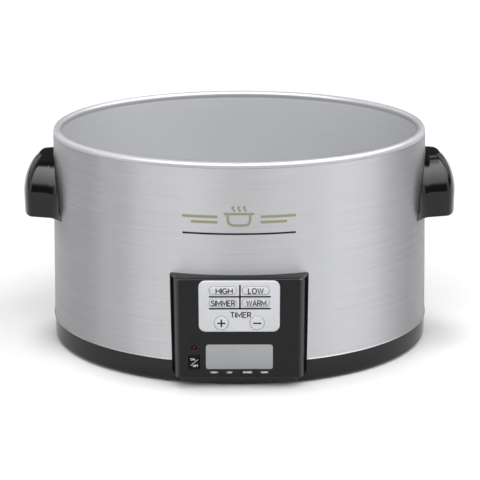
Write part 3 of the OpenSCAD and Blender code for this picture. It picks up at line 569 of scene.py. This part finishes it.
def make_base():
    """Glossy ring that carries the shell, and the ledge under the panel."""
    ring = rounded(
        [(FLARE, BASE_Z), (FLARE, SEAM_Z), (FLARE - 1.05, SEAM_Z), (FLARE - 1.05, SEAM_Z + 6.9),
         (FLARE - 3.3, SEAM_Z + 6.9), (FLARE - 3.3, 7.2), (FLARE - 14.9, 7.2),
         (FLARE - 14.9, PLATE_Z1 + 0.1), (FLARE - 3.2, PLATE_Z1 + 0.1), (FLARE - 3.2, BASE_Z)],
        [2.4, 0.5, 0, 0.3, 0.3, 0, 0, 0, 0, 0.4])
    piece("base", *oval_sweep(ring), black_gloss, "housing", "black_moulding", ["base_ring"])
    layers = [(-0.9, LEDGE_Z0), (-0.25, LEDGE_Z0 + 0.5), (0.3, LEDGE_Z0 + 1.2),
              (0.4, LEDGE_Z0 + 2), (0.4, PANEL_Z0 - 0.9), (0.15, PANEL_Z0 - 0.45),
              (-0.5, PANEL_Z0 - 0.2)]
    shape = panel_loft([(grow - LEDGE_INSET, z) for grow, z in layers], RIM_B - 14)
    ledge = piece("base_ledge", *shape, black_gloss, "housing", "black_moulding", angle=40)
    cut(ledge, loft([oval_ring(FLARE - 1.2, z) for z in (0, SEAM_Z)]))
    smooth(ledge, 40)


def make_feet():
    """Four ribbed rubber feet with the plugs that hold them in the bottom plate."""
    layers = [(5.6, 0.5), (5.9, 0.0), (7.4, 0), (7.9, 0.25), (8.2, 0.7), (8.9, 3.2),
              (8.9, 3.4), (2.5, 3.4), (2.5, 4.7), (3.4, 4.75), (3.2, 5.4), (2.0, 7.2)]
    parts = [turned_z(x * FOOT_AT[0], y * FOOT_AT[1], layers) for x in (-1, 1) for y in (-1, 1)]
    piece("feet", *join(*parts), rubber, "housing", "foot_rubber", ["rubber_feet"], angle=40)


def make_gland():
    """Cord bushing at the back, with grip ribs round its collar."""
    wall = RIM_B + FLARE
    profile = [(5.5, wall - GLAND_IN, 0), (5.5, wall + 0.1, 0), (7.9, wall + 0.1, 0),
               (7.8, wall + 0.4, GLAND_RIB), (7.8, wall + 2.0, GLAND_RIB), (7.4, wall + 2.4, 0),
               (7.0, wall + 2.5, 0), (5.1, GLAND_TIP - 0.5, 0), (4.7, GLAND_TIP, 0),
               (CORD_R + 0.3, GLAND_TIP, 0), (CORD_R, GLAND_TIP - 0.3, 0),
               (CORD_R, wall - GLAND_IN, 0)]
    rings = [[((r + rib * (i % 4 < 2)) * cos(a), y, GLAND_Z + (r + rib * (i % 4 < 2)) * sin(a))
              for i, a in enumerate(around(GLAND_STEPS))] for r, y, rib in profile]
    piece("gland", *loft(rings, wrap=True), matt_black, "housing", "bottom_black",
          ["cord_gland"], angle=30)


# ---- Handles -----------------------------------------------------------------------------
def closing(z, start, top):
    """How far a rounding has closed in at a height: 1 below start, 0 at the top."""
    u = max(0.0, min(1.0, (z - start) / (top - start)))
    return sqrt(1 - u * u)


def nose(x, reach, w, z):
    """A rounded end that bulges towards +X and stops short of a half turn."""
    return [(x + reach * abs(cos(a)) ** (2 / NOSE_POWER),
             w * copysign(abs(sin(a)) ** (2 / NOSE_POWER), sin(a)), z)
            for a in [radians(NOSE_SPAN * (2 * i / NOSE_STEPS - 1))
                      for i in range(NOSE_STEPS + 1)]]


def along_shell(y, z, gap):
    """Points that follow the shell's side from +y to -y."""
    end = asin(min(1.0, y / (RIM_B + shell_out(z) + gap)))
    return [oval(shell_out(z) + gap, end * (1 - 2 * i / SIDE_STEPS), z)
            for i in range(SIDE_STEPS + 1)]


def flare_curve(w, foot, start, z):
    """Along the handle's straight flank and out to its foot on the shell, on the +Y side."""
    end = Vector((FLANK_X, w, z))
    c = Vector((shell_side(foot, z) + 0.25, foot, z))
    b = Vector((shell_side(w, z) + 1.2, w + (foot - w) * 0.15, z))
    flank = [tuple(start.lerp(end, t)) for t in FLANK_STOPS]
    return flank + [tuple(end * (1 - t) ** 2 + b * 2 * t * (1 - t) + c * t * t)
                    for t in spaced(0, 1, FLARE_STEPS)[:-1]]


def closed_section(front, side, back):
    """An outline from the nose, the +Y side, the points along the shell and the -Y side."""
    return front + side + back + [(x, -y, z) for x, y, z in reversed(side)]


def handle_section(z, inset=0.0):
    """Outline of the handle at a height, inset for a rounded edge."""
    roundness = closing(z, HANDLE_ROUND_Z, HANDLE_Z1 + CAP_RISE)
    w = HANDLE_HALF * roundness - inset
    reach = 1 + (HANDLE_TIP - NOSE_X - 1) * roundness - inset
    low = (HANDLE_Z1 - z) / (HANDLE_Z1 - HANDLE_Z0)
    foot = (w + inset) * (1 + (HANDLE_FLARE - 1) * low * low) - inset
    tip = NOSE_PART[0] * reach
    front = nose(NOSE_X + reach - tip, tip, NOSE_PART[1] * w, z)
    side = flare_curve(w, foot, Vector(front[-1]), z)
    return closed_section(front, side, along_shell(foot, z, 0.25))


def pocket_section(z, grow=0.0):
    """Outline of the finger pocket, with the same number of points."""
    w = POCKET_HALF * closing(z, POCKET_ROUND_Z, POCKET_Z1) + grow
    x = NOSE_X + 4
    reach = (HANDLE_TIP - HANDLE_T - x) * closing(z, POCKET_TIP_Z, POCKET_Z1) + grow
    side = [(x - 0.05 * (i + 1), w, z) for i in range(len(FLANK_STOPS) + FLARE_STEPS)]
    return closed_section(nose(x, reach, w, z), side, along_shell(w, z, HANDLE_T - grow))


def make_handles():
    """Two handles, open underneath for the fingers."""
    rings = [[(x, y, top) for x, y, _ in handle_section(z, inset)] for top, z, inset in
             ((HANDLE_Z1, HANDLE_Z1 - 1.2, 2.6), (HANDLE_Z1 - 0.12, HANDLE_Z1 - 1.2, 1.6),
              (HANDLE_Z1 - 0.45, HANDLE_Z1 - 1.3, 0.7), (HANDLE_Z1 - 1.0, HANDLE_Z1 - 1.6, 0.15))]
    heights = [161.3, 160.5, 159.5, 158.5, 157, 155.5, 154, 152, 150, 148, 146, 144, 142, 140,
               138, 136, 134, 132, 130, 127, 124, 120, 116.5, HANDLE_Z0 + 1.2]
    rings += [handle_section(z) for z in heights]
    rings += [[(x, y, z) for x, y, _ in handle_section(z, inset)]
              for z, inset in ((HANDLE_Z0 + 0.6, 0.12), (HANDLE_Z0 + 0.2, 0.45),
                               (HANDLE_Z0, 0.95))]
    rings += [[(x, y, z) for x, y, _ in pocket_section(z, grow)]
              for z, grow in ((HANDLE_Z0, 0.8), (HANDLE_Z0 + 0.3, 0.3), (HANDLE_Z0 + 0.9, 0.0))]
    rings += [pocket_section(z) for z in (124, 130, 137, 141, 145, 149, 152, 154, POCKET_Z1 - 1)]
    verts, faces = loft(rings)
    for name, side in (("right", 1), ("left", -1)):
        piece(name + "_grip", [(side * x, y, z) for x, y, z in verts], faces, black_gloss,
              "housing", "black_moulding", [name + "_handle"], angle=42)


# ---- Control panel -----------------------------------------------------------------------
def make_panel():
    """The black housing with its rounded edges, recesses and windows."""
    top = [(0.0, PANEL_Z0 + 1.4), (0.0, PANEL_Z1 - 2.0), (-0.12, PANEL_Z1 - 1.3),
           (-0.5, PANEL_Z1 - 0.6), (-1.0, PANEL_Z1 - 0.2), (-1.8, PANEL_Z1)]
    layers = [(-1.3, PANEL_Z0), (-0.5, PANEL_Z0 + 0.25), (-0.12, PANEL_Z0 + 0.7)] + top
    obj = piece("panel_housing", *panel_loft(layers, RIM_B - 20), panel_black, "housing",
                "panel_black", ["panel_bezel"], angle=40)
    hollow = panel_loft([(-PANEL_T, z) for z in (PANEL_Z0 + PANEL_T, PANEL_Z1 - PANEL_T)],
                        RIM_B - 40)
    inside = loft([oval_ring(shell_out(z) + 0.1, z) for z in (-1, BODY_H + 1)])
    y = PANEL_Y
    recess = plaque(0, KEYPAD_Z, KEYPAD_SIZE[0] + 0.3, KEYPAD_SIZE[1] + 0.3, 5.75,
                    [(0, y - RECESS), (0, y - 0.15), (-0.35, y + 0.2)])
    window = plaque(0, KEYPAD_Z - 1.2, 56, 39.4, 1.0, [(0, y - 4), (0, y + 1)])
    lens = plaque(0, DISPLAY_Z, DISPLAY_SIZE[0] + 0.3, DISPLAY_SIZE[1] + 0.3, 2.55,
                  [(0, y - 1.5), (0, y - 0.2), (-0.4, y + 0.2)])
    lens_hole = plaque(0, DISPLAY_Z, DISPLAY_SIZE[0] - 4, DISPLAY_SIZE[1] - 4, 1.0,
                       [(0, y - 4), (0, y + 1)])
    led = disc(*LED_AT, [(2.1, y - 4), (2.1, y - 0.35), (2.7, y + 0.25)])
    power = plaque(*POWER_AT, POWER_SIZE[0] + 2 * KEY_GAP, POWER_SIZE[1] + 2 * KEY_GAP, 0.7,
                   [(0, y - 4), (0, y - 0.25), (-0.4, y + 0.15)])
    cut(obj, hollow, inside, recess, window, lens, lens_hole, led, power)
    smooth(obj, 40)


def bar_shape(x, z, grow, layers):
    """A bar key's outline, with rounded ends."""
    return plaque(x, z, BAR_SIZE[0] + 2 * grow, BAR_SIZE[1] + 2 * grow,
                  BAR_SIZE[1] / 2 + grow - 0.4, layers, steps=10)


def make_keypad():
    """Silver plate with a bevelled edge, holes for the keys and printed lines."""
    f = KEYPAD_FRONT
    plate = plaque(0, KEYPAD_Z, *KEYPAD_SIZE, 5.6,
                   [(0, PANEL_Y - RECESS), (0, f - 0.75), (0.12, f - 0.4), (0.4, f - 0.12),
                    (0.85, f)], steps=12)
    obj = piece("keypad_face", *plate, keypad_silver, "housing", "keypad_silver",
                ["keypad_plate"])
    holes = []
    layers = [(0, PANEL_Y - RECESS - 1), (0, f - 0.22), (-0.18, f + 0.05), (-0.18, f + 1)]
    for x in (-1, 1):
        holes += [bar_shape(x * BAR_X, z, KEY_GAP, layers) for z in BAR_Z]
        holes.append(disc(x * ROUND_AT[0], ROUND_AT[1],
                          [(ROUND_R + KEY_GAP - inset, d) for inset, d in layers]))
    cut(obj, *holes)
    smooth(obj, 35)
    # (x, z, width, height) of the printed lines between the keys.
    lines = [(0.55, 80.3, 49.2, 1.3), (0.55, 70.2, 49.2, 1.3), (0.6, 80.3, 1.3, 19.9)]
    piece("keypad_lines", *join(*[printed(*line, f) for line in lines]), ink_black, "housing",
          "part_dark")
    legend("keypad_timer_legend", "TIMER", 1.2, 64.8, 16.8, KEY_LEGEND, f + INK_TOP, "housing",
           ink_black, "part_dark")


def arc(cx, cz, rx, rz, start, end, steps):
    """Points along part of an ellipse, with angles in degrees."""
    return [(cx + rx * cos(a), cz + rz * sin(a)) for a in map(radians, spaced(start, end, steps))]


# Plain capitals as strokes in a box one unit high: (width, strokes).
LETTERS = {
    "A": (0.78, [[(0, 0), (0.39, 1), (0.78, 0)], [(0.14, 0.33), (0.64, 0.33)]]),
    "E": (0.58, [[(0.58, 1), (0, 1), (0, 0), (0.58, 0)], [(0, 0.52), (0.52, 0.52)]]),
    "F": (0.55, [[(0.55, 1), (0, 1), (0, 0)], [(0, 0.5), (0.48, 0.5)]]),
    "G": (0.78, [arc(0.4, 0.5, 0.4, 0.5, 42, 318, 16) + [(0.78, 0.2), (0.78, 0.46), (0.45, 0.46)]]),
    "H": (0.74, [[(0, 0), (0, 1)], [(0.74, 0), (0.74, 1)], [(0, 0.52), (0.74, 0.52)]]),
    "I": (0.0, [[(0, 0), (0, 1)]]),
    "L": (0.52, [[(0, 1), (0, 0), (0.52, 0)]]),
    "M": (0.92, [[(0, 0), (0, 1), (0.46, 0.22), (0.92, 1), (0.92, 0)]]),
    "N": (0.66, [[(0, 0), (0, 1), (0.66, 0), (0.66, 1)]]),
    "O": (0.82, [arc(0.41, 0.5, 0.41, 0.5, 0, 375, 25)]),
    "R": (0.62, [[(0, 0), (0, 1), (0.34, 1)] + arc(0.34, 0.74, 0.26, 0.26, 80, -80, 8)
                 + [(0.34, 0.48), (0, 0.48)], [(0.34, 0.48), (0.62, 0)]]),
    "S": (0.6, [arc(0.3, 0.755, 0.28, 0.245, 25, 265, 12)
                + arc(0.3, 0.255, 0.3, 0.255, 85, -155, 12)]),
    "T": (0.64, [[(0, 1), (0.64, 1)], [(0.32, 1), (0.32, 0)]]),
    "W": (1.08, [[(0, 1), (0.27, 0), (0.54, 0.95), (0.81, 0), (1.08, 1)]]),
}
LETTER_GAP = 0.25


def stroke(points, width, face, lift=0.03):
    """A flat mark with mitred corners. `face` gives a surface's distance in front at (x, z)."""
    rings = []
    for i, p in enumerate(points):
        p = Vector(p)
        before = Vector(points[max(0, i - 1)]) - p
        after = Vector(points[min(len(points) - 1, i + 1)]) - p
        ahead = (after if after.length else -before).normalized()
        behind = (-before if before.length else after).normalized()
        along = (ahead + behind).normalized()
        side = Vector((-along.y, along.x)) * (width / 2 / max(0.45, along.dot(ahead)))
        rings.append([(q.x, -face(q.x, q.y) - rise, q.y) for q, rise in
                      ((p + side, lift), (p - side, lift),
                       (p - side, -INK_SINK), (p + side, -INK_SINK))])
    return loft(rings)


def legend(name, words, x, z, width, style, depth, body, mat, slot):
    """Plain capitals of a width and a style's height and weight, centred on a flat face."""
    height, weight = style
    total = sum(LETTERS[c][0] for c in words) + LETTER_GAP * (len(words) - 1)
    wide, high = (width - weight) / total, height - weight
    marks = []
    at = -total / 2
    for c in words:
        size, lines = LETTERS[c]
        for k, line in enumerate(lines):
            points = [(x + (at + px) * wide, z + (pz - 0.5) * high) for px, pz in line]
            marks.append(stroke(points, weight, lambda px, pz: depth, 0.001 * k))
        at += size + LETTER_GAP
    return piece(name, *join(*marks), mat, body, slot, angle=60)


def stem(x, z, back):
    """The rod behind a key that reaches its switch."""
    return disc(x, z, [(1.3, back + 0.1), (1.3, STEM_Y + 0.2), (1.1, STEM_Y)], steps=24)


def make_keys():
    """Each key rides on its own body, with its legend."""
    f = KEYPAD_FRONT + KEY_PROUD - 0.06
    face = [(0, KEY_BACK - COLLAR_T + 0.05), (0, f - 0.45), (0.08, f - 0.22), (0.3, f - 0.05),
            (0.7, f)]
    collar = [(0, KEY_BACK), (0, KEY_BACK - COLLAR_T)]
    bars = {"key_high": (-1, 0, "HIGH", -11.9, 13.7), "key_low": (1, 0, "LOW", 13.2, 12.6),
            "key_simmer": (-1, 1, "SIMMER", -12.9, 19.3), "key_warm": (1, 1, "WARM", 13.6, 16.2)}
    for name, (side, row, words, at, width) in bars.items():
        x, z = side * BAR_X, BAR_Z[row]
        shape = join(bar_shape(x, z, 0, face),
                     plaque(x, z, BAR_SIZE[0] + 1.6, BAR_SIZE[1] + 1.6, 0.8, collar),
                     stem(x, z, KEY_BACK - COLLAR_T))
        piece(name + "_cap", *shape, key_silver, name, "key_silver", [name], angle=50)
        legend(name + "_legend", words, at, z - 0.1, width, KEY_LEGEND, f + INK_TOP, name,
               ink_black, "part_dark")
    for name, side in (("key_timer_up", -1), ("key_timer_down", 1)):
        x, z = side * ROUND_AT[0], ROUND_AT[1]
        shape = join(disc(x, z, [(ROUND_R - inset, d) for inset, d in face]),
                     disc(x, z, [(ROUND_R + 0.8 - inset, d) for inset, d in collar]),
                     stem(x, z, KEY_BACK - COLLAR_T))
        piece(name + "_cap", *shape, key_silver, name, "key_silver", [name], angle=50)
        strokes = [printed(x, z, 6.6, SIGN_WEIGHT, f)]
        if side < 0:
            strokes += [printed(x, z + s * 1.95, SIGN_WEIGHT, 2.7, f) for s in (-1, 1)]
        piece(name + "_legend", *join(*strokes), ink_black, name, "part_dark")
    collar_y = PANEL_Y - PANEL_T - 0.1
    f = PANEL_Y + 0.3
    x, z = POWER_AT
    shape = join(plaque(x, z, *POWER_SIZE, 0.5, [(0, collar_y - COLLAR_T + 0.05), (0, f - 0.35),
                                                 (0.1, f - 0.12), (0.4, f)], steps=4),
                 plaque(x, z, POWER_SIZE[0] + 2, POWER_SIZE[1] + 2, 0.6,
                        [(0, collar_y), (0, collar_y - COLLAR_T)]),
                 stem(x, z, collar_y - COLLAR_T))
    piece("key_power_cap", *shape, key_black, "key_power", "key_black", ["key_power"], angle=50)
    for tag, words, at, width in (("on", "ON", (x - 1.2, z + 2.8), 3.6),
                                  ("off", "OFF", (x + 1.1, z - 2.8), 4.4)):
        legend("key_power_" + tag, words, *at, width, POWER_LEGEND, f + INK_TOP, "key_power",
               ink_white, "white_plastic")
    slash = [[(x + a, -d, z + b) for a, b in ((-3.2, -2.6), (-2.75, -2.6), (3.2, 2.6),
                                              (2.75, 2.6))]
             for d in (f - INK_SINK, f + INK_TOP)]
    piece("key_power_slash", *loft(slash), ink_white, "key_power", "white_plastic")


def make_display():
    """Blank display window, its function legends, and the power light."""
    y = PANEL_Y
    lens = plaque(0, DISPLAY_Z, *DISPLAY_SIZE, 2.4,
                  [(0, y - 1.4), (0, y - 0.4), (0.12, y - 0.16), (0.45, y)])
    piece("display_pane", *lens, lens_grey, "housing", "display_lens", ["display_window"])
    words = (("HIGH", -20.4, 5.8), ("LOW", -7.9, 4.5), ("SIMMER", 6.5, 7.2), ("WARM", 20.1, 5.8))
    for word, x, width in words:
        legend("display_" + word.lower(), word, x, 15.1, width, DISPLAY_LEGEND, y + 0.01,
               "housing", ink_white, "white_plastic")
    dome = [(1.9 * cos(a), y - 1.2 + 1.9 * sin(a)) for a in spaced(0, pi / 2, 8)[:-1]]
    led = disc(*LED_AT, [(2.5, BOARD_Y + 0.1), (2.5, BOARD_Y + 1.3), (1.9, BOARD_Y + 1.3)]
               + dome + [(0.05, y + 0.7)])
    piece("power_light", *led, led_red, "housing", "led_red", ["power_led"])


def make_emblem():
    """A plain pot-and-steam sign between short lines, and a rule below, printed on the shell."""
    pot = [(-9, 145.5), (-8.6, 139.5), (-7.6, 137.6), (-5.6, 136.6), (0, 136.4), (5.6, 136.6),
           (7.6, 137.6), (8.6, 139.5), (9, 145.5)]
    marks = [stroke(pot, POT_WEIGHT, shell_front),
             stroke([(3.0 * i, 145.8) for i in range(-4, 5)], POT_WEIGHT, shell_front)]
    for x in (-4.5, 0, 4.5):
        steam = [(x + 0.8 * sin(0.64 * i), 147.8 + 0.4 * i) for i in range(12)]
        marks.append(stroke(steam, STEAM_WEIGHT, shell_front))
    for s in (-1, 1):
        for z, outer in ((143.4, 45), (139.0, 38)):
            line = [(s * x, z) for x in spaced(17, outer, 16)]
            marks.append(stroke(line, DASH_WEIGHT, shell_front))
    piece("shell_emblem", *join(*marks), ink_khaki, "housing", "brushed_shell", angle=60)
    rule = [(x, 129.4) for x in spaced(-45, 45, 40)]
    piece("shell_rule", *stroke(rule, RULE_WEIGHT, shell_front), ink_black, "housing",
          "part_dark", angle=60)


make_shell()
make_rim()
make_well()
make_base()
make_feet()
make_gland()
make_handles()
make_panel()
make_keypad()
make_keys()
make_display()
make_emblem()

# ---- CAD nodes that stay -----------------------------------------------------------------
KEPT = {
    plated: ["heater_strap", "strap_rivets", "heat_shield", "centre_stud", "stud_spacer",
             "stud_washer", "stud_nut", "base_screws", "handle_plates", "handle_screws",
             "control_board_screws", "panel_screws", "power_board_screws", "fuse_clip",
             "sensor_clip"],
    mica: ["band_heater"], fibre: ["heater_insulation"], foil: ["rating_label"],
    matt_black: ["bottom_plate", "gland_nut", "panel_back_cover"],
    lcd_grey: ["lcd_panel"], white_plastic: ["lcd_frame"], board_green: ["control_board"],
    part_dark: ["tact_switches", "transformer", "capacitors"], cable_grey: ["ribbon_cable"],
    board_brown: ["power_board"], relay_blue: ["relay"], terminal_green: ["terminal_block"],
    mains_brown: ["mains_wires"], sleeve: ["heater_leads"], brass: ["thermal_fuse"],
    ceramic: ["temperature_sensor"],
}
for mat, names in KEPT.items():
    for name in names:
        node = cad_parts[name]
        if not node.material_slots:
            node.data.materials.append(mat)
        for held in node.material_slots:
            held.material = mat

# ---- Stage, light and camera -------------------------------------------------------------
floor_mat = surface("floor", (0.385, 0.385, 0.3875), 0.7, scale=3, tint=0.004, rough_by=0.02,
                    depth=0.0)
# Half the floor's width, in metres.
FLOOR_HALF = 8
floor = bpy.data.meshes.new("floor")
floor.from_pydata([(x * FLOOR_HALF, y * FLOOR_HALF, 0)
                   for x, y in ((-1, -1), (1, -1), (1, 1), (-1, 1))], [], [(0, 1, 2, 3)])
floor_obj = bpy.data.objects.new("floor", floor)
floor.materials.append(floor_mat)
scene.collection.objects.link(floor_obj)

# Soft boxes of the studio: azimuth range, elevation range (degrees, 0 is in front and 90 at +X),
# radiance at the low and the high edge, and softness of the edges.
SOFT_BOXES = (
    ((-62, 112), (20, 70), (2.4, 5.4), 5),
    ((-62, -14), (20, 70), (1.4, 2.8), 8),
    ((14, 112), (20, 70), (0.95, 1.95), 8),
    ((-150, -68), (5, 50), (1.0, 1.0), 6),
    ((118, 150), (5, 50), (0.9, 0.9), 6),
    ((-80, -44), (0, 20), (1.6, 1.6), 5),
    ((44, 80), (0, 20), (1.6, 1.6), 5),
    ((105, 180), (55, 80), (0.3, 0.3), 8),
    ((-180, -105), (55, 80), (0.3, 0.3), 8),
)
# Radiance of the room around the boxes, and the overhead lamp's strength, width and tilt.
ROOM = 0.06
LAMP_ENERGY, LAMP_WIDTH, LAMP_TILT = 2.7, radians(20), (radians(-8), radians(-6), 0)


def make_studio():
    """A world of soft boxes, and an overhead lamp that glossy surfaces don't show."""
    world = bpy.data.worlds.new("studio")
    scene.world = world
    world.use_nodes = True
    tree = world.node_tree
    look = axes(tree, "ShaderNodeTexCoord", "Generated")

    def ramp(source, start, end, low=0.0, high=1.0):
        out = spread(tree, source, low, high, start, end)
        out.node.interpolation_type = "SMOOTHSTEP"
        return out

    turn = calc(tree, "ARCTAN2", look["X"], calc(tree, "MULTIPLY", look["Y"], -1.0))
    rise = calc(tree, "ARCSINE", look["Z"])
    total = None
    for (left, right), (low, high), (dim, bright), soft in SOFT_BOXES:
        edge = radians(soft)
        lit = ramp(rise, radians(low), radians(high), dim, bright)
        for source, start, end in ((turn, left, right), (rise, low, high)):
            if start > -180:
                lit = calc(tree, "MULTIPLY", lit,
                           ramp(source, radians(start) - edge, radians(start) + edge))
            if end < 180:
                lit = calc(tree, "MULTIPLY", lit,
                           ramp(source, radians(end) - edge, radians(end) + edge, 1.0, 0.0))
        total = lit if total is None else calc(tree, "ADD", total, lit)
    back = tree.nodes["Background"]
    back.inputs["Color"].default_value = (1, 1, 1, 1)
    tree.links.new(calc(tree, "ADD", total, ROOM), back.inputs["Strength"])
    lamp = bpy.data.lights.new("overhead", "SUN")
    lamp.energy, lamp.angle = LAMP_ENERGY, LAMP_WIDTH
    overhead = bpy.data.objects.new("overhead", lamp)
    scene.collection.objects.link(overhead)
    overhead.rotation_euler = LAMP_TILT
    overhead.visible_glossy = False


make_studio()
scene.view_settings.view_transform = "Standard"

DISTANCE, ELEVATION, AZIMUTH, ROLL = 1.40046, 18.62, 0.157, -0.164
TARGET = Vector((0.0004, 0.0, 0.0822))
camera_data = bpy.data.cameras.new("camera")
camera_data.sensor_width, camera_data.lens = 36.0, 120.33
camera = bpy.data.objects.new("camera", camera_data)
scene.collection.objects.link(camera)
a, e = radians(AZIMUTH), radians(ELEVATION)
away = Vector((sin(a) * cos(e), -cos(a) * cos(e), sin(e)))
camera.location = TARGET + away * DISTANCE
turn = away.to_track_quat("Z", "Y").to_matrix() @ Matrix.Rotation(radians(ROLL), 3, "Z")
camera.rotation_euler = turn.to_euler()
scene.camera = camera
